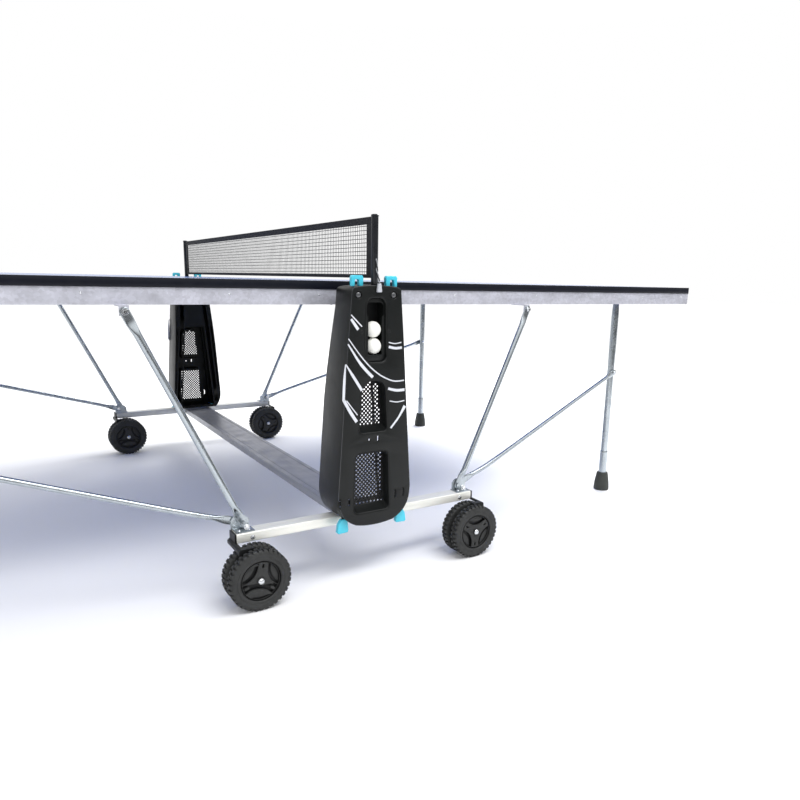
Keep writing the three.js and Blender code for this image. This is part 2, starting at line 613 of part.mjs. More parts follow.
for (const sy of [NEAR, FAR]) {
  const end = endName(sy);
  const postHole = new THREE.CylinderGeometry(POST_RADIUS + 0.6, POST_RADIUS + 0.6, 60, 12);
  postHole.rotateX(Math.PI / 2).translate(0, sy * POST_Y, 752);
  addPiece(`module_shell_${end}`, geometryOf(cut(moduleShell(sy), postHole)), 'shell');
  addPiece(`module_front_${end}`, geometryOf(frontPlate(sy)), 'shell');

  const capZ = NET_TOP + GAP;
  const post = [[0, 729], [POST_RADIUS, 729], [POST_RADIUS, capZ], [POST_RADIUS + 1, capZ],
    [POST_RADIUS + 1, capZ + 3], [0, capZ + 4.5]].map(([r, z]) => new THREE.Vector2(r, z));
  const postGeometry = new THREE.LatheGeometry(post, 12);
  postGeometry.rotateX(Math.PI / 2).translate(0, sy * POST_Y, 0);
  addPiece(`net_post_${end}`, postGeometry, 'post');

  // Each latch is one sliding piece: the hook above, the rod inside, the tab below.
  for (const sx of [LEFT, RIGHT]) {
    const y = sy * LATCH_Y;
    const rod = tube(new THREE.LineCurve3(
      new THREE.Vector3(sx * latchTop[0], y, latchTop[1] + 20),
      new THREE.Vector3(sx * latchBottom[0], y, latchBottom[1] - 5)), LATCH_ROD, 1, 8);
    const hook = polygon([
      [sx * 32, 749], [sx * 32, 772], [sx * 35, 775], [sx * 59, 775], [sx * 62, 772], [sx * 62, 749],
      [sx * 54.5, 749], [sx * 53.5, 765], [sx * 43, 765], [sx * 42, 749],
    ]);
    const tab = polygon([
      [sx * 73, 172], [sx * 91, 172], [sx * 99, 160], [sx * 101, 138], [sx * 98, 135],
      [sx * 72, 135], [sx * 70, 139],
    ]);
    const latch = join(rod, plate(hook, [y - LATCH_HALF, y + LATCH_HALF]),
      plate(tab, [y - LATCH_HALF, y + LATCH_HALF]));
    addPiece(`latch_${end}_${sideName(sx)}`, geometryOf(latch), 'latch');
  }
}

// ---- Net, its tension cord, balls -----------------------------------------------------
const netEnd = POST_Y - POST_RADIUS - GAP;
addPiece('net', box([-1, 1], [-netEnd, netEnd], [NET_BOTTOM, NET_TOP]), 'net');

const cordRoute = [
  [0, -878.7, 814], [0.4, -878.8, 800], [0.8, -879.4, 788], [1.4, -881.6, 776],
  [2.2, -885.4, 766], [2.8, -887.6, 757],
].map((p) => new THREE.Vector3(...p));
const cordCurve = new THREE.CatmullRomCurve3(cordRoute, false, 'centripetal');
addPiece('tension_cord', tube(cordCurve, 1.5, 10, 8), 'cord');
const clip = new THREE.Shape();
clip.moveTo(-1, 736);
clip.lineTo(7, 736);
clip.quadraticCurveTo(9.5, 736, 9, 739);
clip.lineTo(6.6, 756.4);
clip.lineTo(-1, 756.4);
clip.lineTo(-3.5, 739);
clip.quadraticCurveTo(-3.5, 736, -1, 736);
addPiece('cord_end', plate(clip, [-891, -MODULE_FRONT - GAP]), 'clip');

for (const [name, x, z] of [['ball_lower', 0.9, 605.4], ['ball_upper', -0.4, 646]]) {
  const ball = new THREE.SphereGeometry(BALL_RADIUS, 12, 8);
  ball.rotateX(Math.PI / 2).translate(x, -BALL_Y, z);
  addPiece(name, ball, 'ball');
}

export default table;
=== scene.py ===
import math
import random

import bpy
import bmesh
from mathutils import Matrix, Vector
from mathutils.geometry import tessellate_polygon


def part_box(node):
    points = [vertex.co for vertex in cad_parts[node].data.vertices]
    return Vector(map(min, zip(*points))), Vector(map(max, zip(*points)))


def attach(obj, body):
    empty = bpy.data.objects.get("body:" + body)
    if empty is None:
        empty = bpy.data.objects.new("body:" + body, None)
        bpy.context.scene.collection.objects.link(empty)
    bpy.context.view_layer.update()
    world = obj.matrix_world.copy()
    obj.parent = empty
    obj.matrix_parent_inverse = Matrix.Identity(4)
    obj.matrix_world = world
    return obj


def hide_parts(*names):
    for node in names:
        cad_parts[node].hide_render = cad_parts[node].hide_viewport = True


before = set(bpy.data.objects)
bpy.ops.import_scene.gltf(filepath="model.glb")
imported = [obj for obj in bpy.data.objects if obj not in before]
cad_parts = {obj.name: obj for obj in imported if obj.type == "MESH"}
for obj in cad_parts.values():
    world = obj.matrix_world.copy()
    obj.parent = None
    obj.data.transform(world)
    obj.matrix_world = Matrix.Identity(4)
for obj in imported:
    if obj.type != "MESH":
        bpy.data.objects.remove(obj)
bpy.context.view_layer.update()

random.seed(7)

# Shapes are worked out in millimetres, with Y counted from the middle of the
# net, and become metres in the row's frame when a piece is made.
MM = 0.001
NEAR, FAR = -1, 1
LEFT, RIGHT = -1, 1
SIDES = {LEFT: "left", RIGHT: "right"}
ENDS = {NEAR: "near", FAR: "far"}
CORNERS = [(sx, sy) for sy in (NEAR, FAR) for sx in (LEFT, RIGHT)]

net_low, net_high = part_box("net")
CENTRE_Y = (net_low.y + net_high.y) / 2


def span(node):
    """Lowest and highest corner of a CAD node in millimetres, Y from the net's middle."""
    shift = Vector((0, CENTRE_Y, 0))
    low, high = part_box(node)
    return (low - shift) / MM, (high - shift) / MM


# ---- The camera ----------------------------------------------------------------
camera_data = bpy.data.cameras.new("camera")
camera = bpy.data.objects.new("camera", camera_data)
bpy.context.scene.collection.objects.link(camera)
bpy.context.scene.camera = camera
YAW, PITCH, ROLL = math.radians(32.952), math.radians(11.872), math.radians(1.275)
forward = Vector((math.sin(YAW) * math.cos(PITCH), math.cos(YAW) * math.cos(PITCH), -math.sin(PITCH)))
level = Vector((math.cos(YAW), -math.sin(YAW), 0))
upward = level.cross(forward)
across = math.cos(ROLL) * level + math.sin(ROLL) * upward
above = math.cos(ROLL) * upward - math.sin(ROLL) * level
facing = Matrix((across, above, -forward)).transposed().to_4x4()
camera.matrix_world = Matrix.Translation((-0.8066, -2.2897, 0.7673)) @ facing
camera_data.sensor_width = 36
camera_data.lens = 30.09
camera_data.shift_x = -0.0183
camera_data.shift_y = 0.0254
camera_data.clip_end = 60


# ---- Materials -----------------------------------------------------------------
def linear(red, green, blue):
    """A colour as a screen shows it, 0 to 255, as the shader's linear one."""
    def one(value):
        value /= 255
        return value / 12.92 if value <= 0.04045 else ((value + 0.055) / 1.055) ** 2.4
    return (one(red), one(green), one(blue), 1.0)


class Look:
    """A node material whose parts all read the object's own coordinates."""

    def __init__(self, name):
        self.material = bpy.data.materials.new(name)
        self.material.use_nodes = True
        self.tree = self.material.node_tree
        self.shader = self.tree.nodes["Principled BSDF"]
        self.place = self.node("ShaderNodeTexCoord").outputs["Object"]

    def node(self, kind, **settings):
        made = self.tree.nodes.new(kind)
        for key, value in settings.items():
            setattr(made, key, value)
        return made

    def link(self, output, node, socket):
        self.tree.links.new(output, node.inputs[socket])

    def set(self, **values):
        for key, value in values.items():
            self.shader.inputs[key.replace("_", " ")].default_value = value
        return self

    def stretched(self, scale):
        mapping = self.node("ShaderNodeMapping")
        mapping.inputs["Scale"].default_value = scale
        self.link(self.place, mapping, "Vector")
        return mapping.outputs["Vector"]

    def noise(self, scale, detail=4.0, stretch=None, rough=0.55):
        made = self.node("ShaderNodeTexNoise")
        made.inputs["Scale"].default_value = scale
        made.inputs["Detail"].default_value = detail
        made.inputs["Roughness"].default_value = rough
        self.link(self.stretched(stretch) if stretch else self.place, made, "Vector")
        return made.outputs["Fac"]

    def cells(self, scale):
        made = self.node("ShaderNodeTexVoronoi")
        made.inputs["Scale"].default_value = scale
        self.link(self.place, made, "Vector")
        parts = self.node("ShaderNodeSeparateColor")
        self.link(made.outputs["Color"], parts, "Color")
        return parts.outputs["Red"]

    def math(self, operation, first, second=0.0):
        made = self.node("ShaderNodeMath", operation=operation)
        for index, value in enumerate((first, second)):
            if isinstance(value, (int, float)):
                made.inputs[index].default_value = value
            else:
                self.tree.links.new(value, made.inputs[index])
        return made.outputs[0]

    def spread(self, value, low, high, start=0.3, end=0.7):
        made = self.node("ShaderNodeMapRange")
        made.inputs["From Min"].default_value = start
        made.inputs["From Max"].default_value = end
        made.inputs["To Min"].default_value = low
        made.inputs["To Max"].default_value = high
        self.link(value, made, "Value")
        return made.outputs["Result"]

    def ramp(self, value, *stops):
        made = self.node("ShaderNodeValToRGB")
        elements = made.color_ramp.elements
        while len(elements) < len(stops):
            elements.new(0.5)
        for element, (position, colour) in zip(elements, stops):
            element.position = position
            element.color = colour
        self.link(value, made, "Fac")
        return made.outputs["Color"]

    def mix(self, factor, first, second):
        made = self.node("ShaderNodeMix", data_type="RGBA")
        self.link(factor, made, "Factor")
        for socket, value in (("A", first), ("B", second)):
            target = [s for s in made.inputs if s.name == socket and s.type == "RGBA"][0]
            if isinstance(value, tuple):
                target.default_value = value
            else:
                self.tree.links.new(value, target)
        return [s for s in made.outputs if s.type == "RGBA"][0]

    def colour(self, output):
        self.link(output, self.shader, "Base Color")
        return self

    def rough(self, output):
        self.link(output, self.shader, "Roughness")
        return self

    def bump(self, *layers):
        """Each layer is a height, and how deep it is in millimetres."""
        below = None
        for height, depth in layers:
            made = self.node("ShaderNodeBump")
            made.inputs["Strength"].default_value = 1.0
            made.inputs["Distance"].default_value = depth * MM
            self.link(height, made, "Height")
            if below:
                self.link(below, made, "Normal")
            below = made.outputs["Normal"]
        self.link(below, self.shader, "Normal")
        return self


def shade(colour, factor):
    return tuple(min(1.0, c * factor) for c in colour[:3]) + (1.0,)


def plastic(name, colour, rough, grain=700, depth=0.03, spot=0.12, coat=0.0, shine=0.5):
    look = Look(name)
    cloudy = look.noise(9, 5)
    look.colour(look.ramp(cloudy, (0.3, shade(colour, 1 - spot)), (0.7, shade(colour, 1 + spot))))
    look.rough(look.spread(look.noise(40, 6), rough - 0.06, rough + 0.06))
    look.bump((look.noise(grain, 2), depth), (look.noise(12, 2), 0.25))
    look.set(Coat_Weight=coat, Coat_Roughness=0.2, Specular_IOR_Level=shine)
    return look.material


def steel(name, colour, rough, metallic, stretch, spangle=0.0):
    look = Look(name)
    drawn = look.noise(60, 5, stretch)
    tone = look.ramp(drawn, (0.3, shade(colour, 0.86)), (0.5, colour), (0.72, shade(colour, 1.1)))
    if spangle:
        flakes = look.spread(look.cells(160), 0.0, spangle, 0.0, 1.0)
        tone = look.mix(flakes, tone, shade(colour, 0.55))
    look.colour(tone)
    look.rough(look.spread(look.noise(25, 6), rough - 0.08, rough + 0.1))
    look.bump((drawn, 0.05), (look.noise(420, 3), 0.02))
    look.set(Metallic=metallic)
    return look.material


EDGE_LINE, CENTRE_LINE = 20.0, 3.0


def playing_top():
    """Blue top with white side and end lines 20 mm wide and a 3 mm centre line."""
    look = Look("playing_top")
    parts = look.node("ShaderNodeSeparateXYZ")
    look.link(look.place, parts, "Vector")
    low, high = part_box("edge_trim_left")[0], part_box("edge_trim_right")[1]
    out_x = look.math("ABSOLUTE", parts.outputs["X"])
    out_y = look.math("ABSOLUTE", look.math("SUBTRACT", parts.outputs["Y"], CENTRE_Y))
    ends = look.math("GREATER_THAN", out_x, high.x - EDGE_LINE * MM)
    sides = look.math("GREATER_THAN", out_y, (high.y - low.y) / 2 - EDGE_LINE * MM)
    middle = look.math("LESS_THAN", out_y, CENTRE_LINE / 2 * MM)
    top = look.math("GREATER_THAN", parts.outputs["Z"], high.z - 0.5 * MM)
    painted = look.math("MULTIPLY", look.math("MAXIMUM", look.math("MAXIMUM", ends, sides), middle), top)
    blue = linear(28, 84, 160)
    base = look.ramp(look.noise(14, 6), (0.3, shade(blue, 0.9)), (0.7, shade(blue, 1.1)))
    white = look.ramp(look.noise(90, 4), (0.3, linear(224, 226, 228)), (0.7, linear(242, 243, 245)))
    look.colour(look.mix(painted, base, white))
    look.rough(look.spread(look.noise(60, 6), 0.12, 0.22))
    look.bump((look.noise(900, 2), 0.01), (painted, 0.05))
    return look.material


def woven(name, colour, pitch):
    """Plain weave: two crossed sets of ridges, pitch millimetres apart."""
    look = Look(name)
    turns = 2 * math.pi / (pitch * MM)
    parts = look.node("ShaderNodeSeparateXYZ")
    look.link(look.place, parts, "Vector")
    rows = look.math("SINE", look.math("MULTIPLY", parts.outputs["Z"], turns))
    columns = look.math("SINE", look.math("MULTIPLY", parts.outputs["Y"], turns))
    weave = look.math("MULTIPLY", rows, columns)
    height = look.spread(weave, 0, 1, -1, 1)
    # The colour darkens in the weave's dips and lightens on its crowns: painted shade and painted highlight
    # on a thread of one colour.
    look.colour(look.ramp(height, (0.1, shade(colour, 0.55)), (0.9, shade(colour, 1.25))))
    look.rough(look.spread(look.noise(300, 4), 0.75, 0.95))
    look.bump((weave, 0.12), (look.noise(1500, 3), 0.05))
    look.set(Sheen_Weight=0.08, Sheen_Roughness=0.5, Specular_IOR_Level=0.2)
    return look.material


def tyre_rubber():
    look = Look("tyre_rubber")
    colour = linear(34, 35, 35)
    worn = look.noise(35, 8)
    look.colour(look.ramp(worn, (0.25, shade(colour, 0.72)), (0.55, colour), (0.8, shade(colour, 1.3))))
    look.rough(look.spread(look.noise(80, 6), 0.5, 0.72))
    look.bump((look.noise(500, 4), 0.06), (look.noise(45, 3), 0.15))
    return look.material


def shell_plastic():
    """Moulded plastic with a fine spark-eroded grain and handling marks."""
    look = Look("shell_plastic")
    colour = linear(19, 21, 21)
    look.colour(look.ramp(look.noise(7, 5), (0.3, shade(colour, 0.85)), (0.7, shade(colour, 1.12))))
    rubbed = look.math("MAXIMUM", look.noise(18, 8), look.noise(30, 6, (3, 3, 0.4)))
    look.rough(look.spread(rubbed, 0.3, 0.42))
    look.bump((look.noise(800, 2), 0.035), (look.noise(10, 2), 0.35))
    look.set(Specular_IOR_Level=0.24)
    return look.material


zinc = steel("zinc", linear(172, 179, 184), 0.24, 0.95, (1, 1, 0.15))
beam_steel = steel("beam_steel", linear(228, 228, 222), 0.38, 0.3, (0.06, 1, 1))
rail_steel = steel("rail_steel", linear(164, 165, 170), 0.38, 0.7, (1, 0.05, 1))
skirt_steel = steel("skirt_steel", linear(206, 207, 218), 0.42, 0.55, (0.3, 0.3, 1), 0.35)
bolt_steel = steel("bolt_steel", linear(214, 217, 220), 0.2, 0.95, (1, 1, 1))
shell_look = shell_plastic()
black_look = plastic("black_plastic", linear(19, 20, 21), 0.42, shine=0.25)
gloss_look = plastic("gloss_black", linear(62, 64, 67), 0.16, 300, 0.01, 0.05, 0.6)
trim_look = plastic("edge_trim", linear(17, 19, 28), 0.34, 500, 0.02, 0.08, shine=0.22)
cyan_look = plastic("latch_plastic", linear(66, 190, 214), 0.36, 600, 0.02, 0.06, 0.2)
foot_look = plastic("foot_rubber", linear(44, 47, 43), 0.62, 400, 0.06)
clip_look = plastic("clip_plastic", linear(176, 179, 186), 0.45, 600, 0.02, 0.06)
stripe_look = plastic("stripe_paint", linear(206, 209, 216), 0.4, 900, 0.015, 0.05)
ball_look = plastic("ball_plastic", linear(240, 240, 234), 0.5, 900, 0.02, 0.03)
post_look = plastic("post_paint", linear(26, 28, 32), 0.3, 500, 0.03, 0.1, shine=0.35)
tyre_look = tyre_rubber()
top_look = playing_top()
net_look = woven("net_thread", linear(34, 35, 38), 0.8)
tape_look = woven("net_tape", linear(15, 16, 20), 1.6)
cord_look = woven("cord_thread", linear(30, 32, 35), 0.9)
cord_fleck = woven("cord_fleck", linear(150, 152, 156), 0.9)


# ---- Mesh building ---------------------------------------------------------------
def joined(*shapes):
    points, faces = [], []
    for more_points, more_faces in shapes:
        start = len(points)
        points.extend(more_points)
        faces.extend(tuple(i + start for i in face) for face in more_faces)
    return points, faces


def moved(shape, offset=(0, 0, 0), turn=None):
    points, faces = shape
    offset = Vector(offset)
    if turn:
        points = [turn @ p for p in points]
    return [p + offset for p in points], faces


def circle(x, z, radius, count=24, start=0.0):
    return [(x + radius * math.cos(start + 2 * math.pi * i / count),
             z + radius * math.sin(start + 2 * math.pi * i / count)) for i in range(count)]


def signed_area(loop):
    return sum(a[0] * b[1] - b[0] * a[1] for a, b in zip(loop, loop[1:] + loop[:1])) / 2


def inset(loop, distance):
    """The loop moved to its left, with corners mitred."""
    out = []
    count = len(loop)
    for i, (x, z) in enumerate(loop):
        before = Vector(loop[i]) - Vector(loop[i - 1])
        after = Vector(loop[(i + 1) % count]) - Vector(loop[i])
        if before.length < 1e-9 or after.length < 1e-9:
            out.append((x, z))
            continue
        before.normalize()
        after.normalize()
        first, second = Vector((-before.y, before.x)), Vector((-after.y, after.x))
        middle = first + second
        share = max(0.25, 1 + first.dot(second))
        out.append((x + middle.x * distance / share, z + middle.y * distance / share))
    return out


def prism(loops, y0, y1, bevel=0.0, steps=2):
    """A plate along Y from an outline and its holes, in X and Z, with rounded edges."""
    y0, y1 = min(y0, y1), max(y0, y1)
    turned = []
    for index, loop in enumerate(loops):
        wanted = 1 if index == 0 else -1
        turned.append(loop if signed_area(loop) * wanted > 0 else loop[::-1])
    levels = []
    if bevel:
        for k in range(steps + 1):
            angle = math.pi / 2 * k / steps
            levels.append((y0 + bevel * (1 - math.cos(angle)), bevel * (1 - math.sin(angle))))
        levels += [(y0 + y1 - y, distance) for y, distance in reversed(levels)]
    else:
        levels = [(y0, 0.0), (y1, 0.0)]
    points, faces, rings = [], [], []
    for loop in turned:
        own = []
        for y, distance in levels:
            line = inset(loop, distance) if distance else loop
            own.append(range(len(points), len(points) + len(line)))
            points.extend(Vector((x, y, z)) for x, z in line)
        rings.append(own)
        for low, high in zip(own, own[1:]):
            count = len(low)
            for i in range(count):
                j = (i + 1) % count
                faces.append((low[i], low[j], high[j], high[i]))
    for level in (0, -1):
        flat = [i for own in rings for i in own[level]]
        lines = [[Vector((points[i].x, points[i].z, 0)) for i in own[level]] for own in rings]
        faces.extend(tuple(flat[i] for i in tri) for tri in tessellate_polygon(lines))
    return points, faces


def block(low, high, bevel=0.8, steps=2):
    outline = [(low[0], low[2]), (high[0], low[2]), (high[0], high[2]), (low[0], high[2])]
    return prism([outline], low[1], high[1], bevel, steps)


def loft(rings, closed_ends=True):
    """Skins rings of the same number of points, with flat ends."""
    points, faces = [], []
    count = len(rings[0])
    for ring in rings:
        points.extend(Vector(p) for p in ring)
    for k in range(len(rings) - 1):
        for i in range(count):
            j = (i + 1) % count
            faces.append((k * count + i, k * count + j, (k + 1) * count + j, (k + 1) * count + i))
    if closed_ends:
        faces.append(tuple(reversed(range(count))))
        faces.append(tuple(range((len(rings) - 1) * count, len(rings) * count)))
    return points, faces


def closed_loft(rings):
    """Skins rings of the same number of points, the last of them joined to the first."""
    points, faces = loft(rings, closed_ends=False)
    count = len(rings[0])
    last = (len(rings) - 1) * count
    for i in range(count):
        j = (i + 1) % count
        faces.append((last + i, last + j, j, i))
    return points, faces


def lathe(profile, segments=48, axis="Y", centre=(0, 0, 0)):
    """Turns a profile of [radius, height] round an axis. Radius 0 closes an end."""
    points, faces, rows = [], [], []
    for radius, height in profile:
        row = []
        if radius < 1e-6:
            row = [len(points)] * segments
            points.append(Vector((0, 0, height)))
        else:
            for i in range(segments):
                angle = 2 * math.pi * i / segments
                row.append(len(points))
                points.append(Vector((radius * math.cos(angle), radius * math.sin(angle), height)))
        rows.append(row)
    for low, high in zip(rows, rows[1:]):
        for i in range(segments):
            j = (i + 1) % segments
            face = [low[i], low[j], high[j], high[i]]
            face = [v for k, v in enumerate(face) if v != face[k - 1]]
            if len(face) > 2:
                faces.append(tuple(face))
    if axis == "Y":
        points = [Vector((p.x, p.z, p.y)) for p in points]
    if axis == "X":
        points = [Vector((p.z, p.x, p.y)) for p in points]
    return moved((points, faces), centre)


def tube(path, radius, sides=16):
    """A round bar along a path."""
    path = [Vector(p) for p in path]
    rings = []
    normal = None
    for i, point in enumerate(path):
        along = (path[min(i + 1, len(path) - 1)] - path[max(i - 1, 0)]).normalized()
        if normal is None:
            normal = along.orthogonal().normalized()
        normal = (normal - along * normal.dot(along)).normalized()
        side = along.cross(normal)
        rings.append([point + radius * (math.cos(2 * math.pi * k / sides) * normal
                                        + math.sin(2 * math.pi * k / sides) * side) for k in range(sides)])
    return loft(rings)


def bend(points, radius, steps=8):
    """A path through the points, with each corner rounded."""
    points = [Vector(p) for p in points]
    path = [points[0]]
    for before, corner, after in zip(points, points[1:], points[2:]):
        one, two = (before - corner).normalized(), (after - corner).normalized()
        half = one.angle(two) / 2
        reach = radius / math.tan(half)
        centre = corner + (one + two).normalized() * radius / math.sin(half)
        start, end = corner + one * reach - centre, corner + two * reach - centre
        for k in range(steps + 1):
            share = k / steps
            path.append(centre + start.slerp(end, share).normalized() * radius)
    path.append(points[-1])
    return path


def smooth_path(points, steps=8):
    """A smooth line that passes through every point."""
    points = [Vector(p) for p in points]
    last = len(points) - 1
    out = []
    for i in range(last):
        p0, p1, p2, p3 = points[max(i - 1, 0)], points[i], points[i + 1], points[min(i + 2, last)]
        for k in range(steps):
            t = k / steps
            out.append(0.5 * (2 * p1 + (p2 - p0) * t + (2 * p0 - 5 * p1 + 4 * p2 - p3) * t * t
                              + (3 * p1 - p0 - 3 * p2 + p3) * t ** 3))
    return out + [points[-1]]


def rounded(corners, steps=6):
    """An outline in X and Z whose corners each carry a radius."""
    out = []
    count = len(corners)
    for i, (x, z, radius) in enumerate(corners):
        corner = Vector((x, z))
        one = (Vector(corners[i - 1][:2]) - corner).normalized()
        two = (Vector(corners[(i + 1) % count][:2]) - corner).normalized()
        if radius <= 0:
            out.append((x, z))
            continue
        half = math.acos(max(-1, min(1, one.dot(two)))) / 2
        reach = radius / math.tan(half)
        middle = corner + (one + two).normalized() * radius / math.sin(half)
        start, end = corner + one * reach - middle, corner + two * reach - middle
        first, last = math.atan2(start.y, start.x), math.atan2(end.y, end.x)
        turn = (last - first + math.pi) % (2 * math.pi) - math.pi
        for k in range(steps + 1):
            angle = first + turn * k / steps
            out.append((middle.x + radius * math.cos(angle), middle.y + radius * math.sin(angle)))
    return out


def bezier(p0, p1, p2, p3, steps=10):
    out = []
    for k in range(1, steps + 1):
        t = k / steps
        weights = ((1 - t) ** 3, 3 * t * (1 - t) ** 2, 3 * t * t * (1 - t), t ** 3)
        out.append(tuple(sum(w * p[i] for w, p in zip(weights, (p0, p1, p2, p3))) for i in range(2)))
    return out


def piece(name, body, parts, replaces=(), smooth=32.0):
    """Makes one object from (shape, material) pairs and ties it to its body."""
    points, faces, slots, materials = [], [], [], []
    for (more_points, more_faces), look in parts:
        if look not in materials:
            materials.append(look)
        start = len(points)
        points.extend((p.x * MM, p.y * MM + CENTRE_Y, p.z * MM) for p in more_points)
        faces.extend(tuple(i + start for i in face) for face in more_faces)
        slots.extend([materials.index(look)] * len(more_faces))
    mesh = bpy.data.meshes.new(name)
    mesh.from_pydata(points, [], faces)
    for look in materials:
        mesh.materials.append(look)
    mesh.polygons.foreach_set("material_index", slots)
    tidy = bmesh.new()
    tidy.from_mesh(mesh)
    bmesh.ops.recalc_face_normals(tidy, faces=tidy.faces)
    tidy.to_mesh(mesh)
    tidy.free()
    mesh.polygons.foreach_set("use_smooth", [True] * len(mesh.polygons))
    mesh.set_sharp_from_angle(angle=math.radians(smooth))
    made = bpy.data.objects.new(name, mesh)
    bpy.context.scene.collection.objects.link(made)
    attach(made, body)
    if replaces:
        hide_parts(*replaces)
    return made


def dress(node, look, bevel=1.0, segments=2):
    """A CAD node that stays: a better material, and its edges rounded."""
    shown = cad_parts[node]
    shown.data.materials.clear()
    shown.data.materials.append(look)
    weld = shown.modifiers.new("weld", "WELD")
    weld.merge_threshold = 0.02 * MM
    flat = shown.modifiers.new("flat", "DECIMATE")
    flat.decimate_type = "DISSOLVE"
    flat.angle_limit = math.radians(1.0)
    if bevel:
        edges = shown.modifiers.new("edges", "BEVEL")
        edges.width = bevel * MM
        edges.segments = segments
        edges.limit_method = "ANGLE"
        edges.angle_limit = math.radians(38)
        edges.harden_normals = False


# ---- Fasteners ------------------------------------------------------------------
def facing_turn(direction):
    return Vector((0, 0, 1)).rotation_difference(Vector(direction)).to_matrix()


def hex_bolt(at, direction, across_flats=8.0, height=3.2):
    """A washer and a six-sided head with a domed top."""
    radius = across_flats / 2
    thick = 0.9
    rim = [(0, 0), (radius * 1.55, 0), (radius * 1.6, 0.4), (radius * 1.5, thick), (0, thick)]
    washer = lathe(rim, 24, "Z")
    corner = radius / math.cos(math.pi / 6)
    rings = []
    for share, level in ((1.0, 0), (1.0, height * 0.75), (0.86, height), (0.4, height * 1.04)):
        reach = corner * share
        rings.append([(reach * math.cos(math.pi / 3 * k), reach * math.sin(math.pi / 3 * k), thick + level)
                      for k in range(6)])
    return moved(joined(washer, loft(rings)), at, facing_turn(direction))


def dome_screw(at, direction, radius=5.5, height=3.0):
    """A round domed head on a thin flat collar."""
    profile = [(radius * math.sin(a), height * math.cos(a)) for a in
               [math.pi / 2 * k / 7 for k in range(8)]]
    profile[0] = (0, height)
    return moved(lathe(profile + [(radius, -0.6), (0, -0.6)], 24, "Z"), at, facing_turn(direction))


# ---- Lower frame -----------------------------------------------------------------
ALONG_X = Matrix.Rotation(math.pi / 2, 3, "Z")
UPRIGHT = Matrix.Rotation(math.pi / 2, 3, "X")


def mirrored(shape, sx=1, sy=1):
    points, faces = shape
    return [Vector((p.x * sx, p.y * sy, p.z)) for p in points], faces


def rectangle(x0, x1, z0, z1, radius):
    return rounded([(x0, z0, radius), (x1, z0, radius), (x1, z1, radius), (x0, z1, radius)], 4)


def lower_beam(end):
    low, high = span(f"{end}_beam")
    middle = (low.y + high.y) / 2
    half = (high.y - low.y) / 2
    wall = 2.5
    outside = rectangle(-half, half, low.z, high.z, 3.2)
    inside = rectangle(-half + wall, half - wall, low.z + wall, high.z - wall, 1.0)
    bar = moved(prism([outside, inside], low.x, high.x, 0.4, 1), (0, middle, 0), ALONG_X)
    front = -1 if end == "near" else 1
    face = middle + front * half
    bolts = []
    for x, z in ((-307, 157), (307, 157)):
        bolts.append(hex_bolt((x, face, z), (0, front, 0), 7.5, 2.8))
    for x in (-48, 48):
        bolts.append(hex_bolt((x, face, 158), (0, front, 0), 8.5, 3.0))
    piece(f"beam_tube_{end}", "chassis",
          [(bar, beam_steel), (joined(*bolts), bolt_steel)], [f"{end}_beam"])


for end in ENDS.values():
    lower_beam(end)
dress("center_rail", rail_steel, 0.5)


# ---- Wheels, carriers and axles -----------------------------------------------------
def lens(middle_angle, rim, reach, half_angle, steps=12):
    """An opening between the rim's circle and an arc that bulges towards the hub."""
    chord = math.sin(half_angle) * rim
    far = math.cos(half_angle) * rim
    centre = (rim * rim - reach * reach) / (2 * (far - reach))
    radius = centre - reach
    inner = math.asin(min(1, chord / radius))
    out = [(rim * math.cos(a), rim * math.sin(a)) for a in
           [half_angle * (2 * k / steps - 1) for k in range(steps + 1)]]
    out += [(centre - radius * math.cos(a), radius * math.sin(a)) for a in
            [inner * (1 - 2 * k / steps) for k in range(1, steps)]]
    cos, sin = math.cos(middle_angle), math.sin(middle_angle)
    return [(x * cos - z * sin, x * sin + z * cos) for x, z in out]


def spoke_slot(angle):
    cos, sin = math.cos(angle), math.sin(angle)
    corners = rectangle(31, 41, -2.1, 2.1, 1.9)
    return [(x * cos - z * sin, x * sin + z * cos) for x, z in corners]


RIM_RADIUS = 49.0
HUB_RADIUS = 46.0
LUGS = 36


def tyre():
    half = 12.0
    side = [(RIM_RADIUS, half - 1.6), (RIM_RADIUS + 1.6, half), (56.5, half), (57, half - 0.5),
            (57.9, half - 0.5), (58.4, half), (66.5, half), (69.5, half - 0.9), (71.3, half - 2.6),
            (71.8, half - 5)]
    profile = side + [(r, -y) for r, y in reversed(side)]
    profile.append(profile[0])
    shapes = [lathe(profile, 72)]
    section = [(70.6, 0.9), (74.6, 1.2), (75.0, 1.8), (75.0, 8.2), (74.4, 9.6), (71.6, 11.6),
               (68.2, 12.0), (68.2, 9.0)]
    half_width = math.radians(3.1)
    for side_sign in (-1, 1):
        for k in range(LUGS):
            angle = 2 * math.pi * (k + (0.5 if side_sign > 0 else 0)) / LUGS
            rings = []
            for turn, share in ((-1, 0.92), (-0.8, 1.0), (0.8, 1.0), (1, 0.92)):
                a = angle + turn * half_width
                rings.append([(r_in(r, share) * math.cos(a), y * side_sign, r_in(r, share) * math.sin(a))
                              for r, y in section])
            shapes.append(loft(rings))
    return joined(*shapes)


def r_in(radius, share):
    """A lug's leading and trailing faces lean in a little."""
    return 70.6 + (radius - 70.6) * share if radius > 70.6 else radius


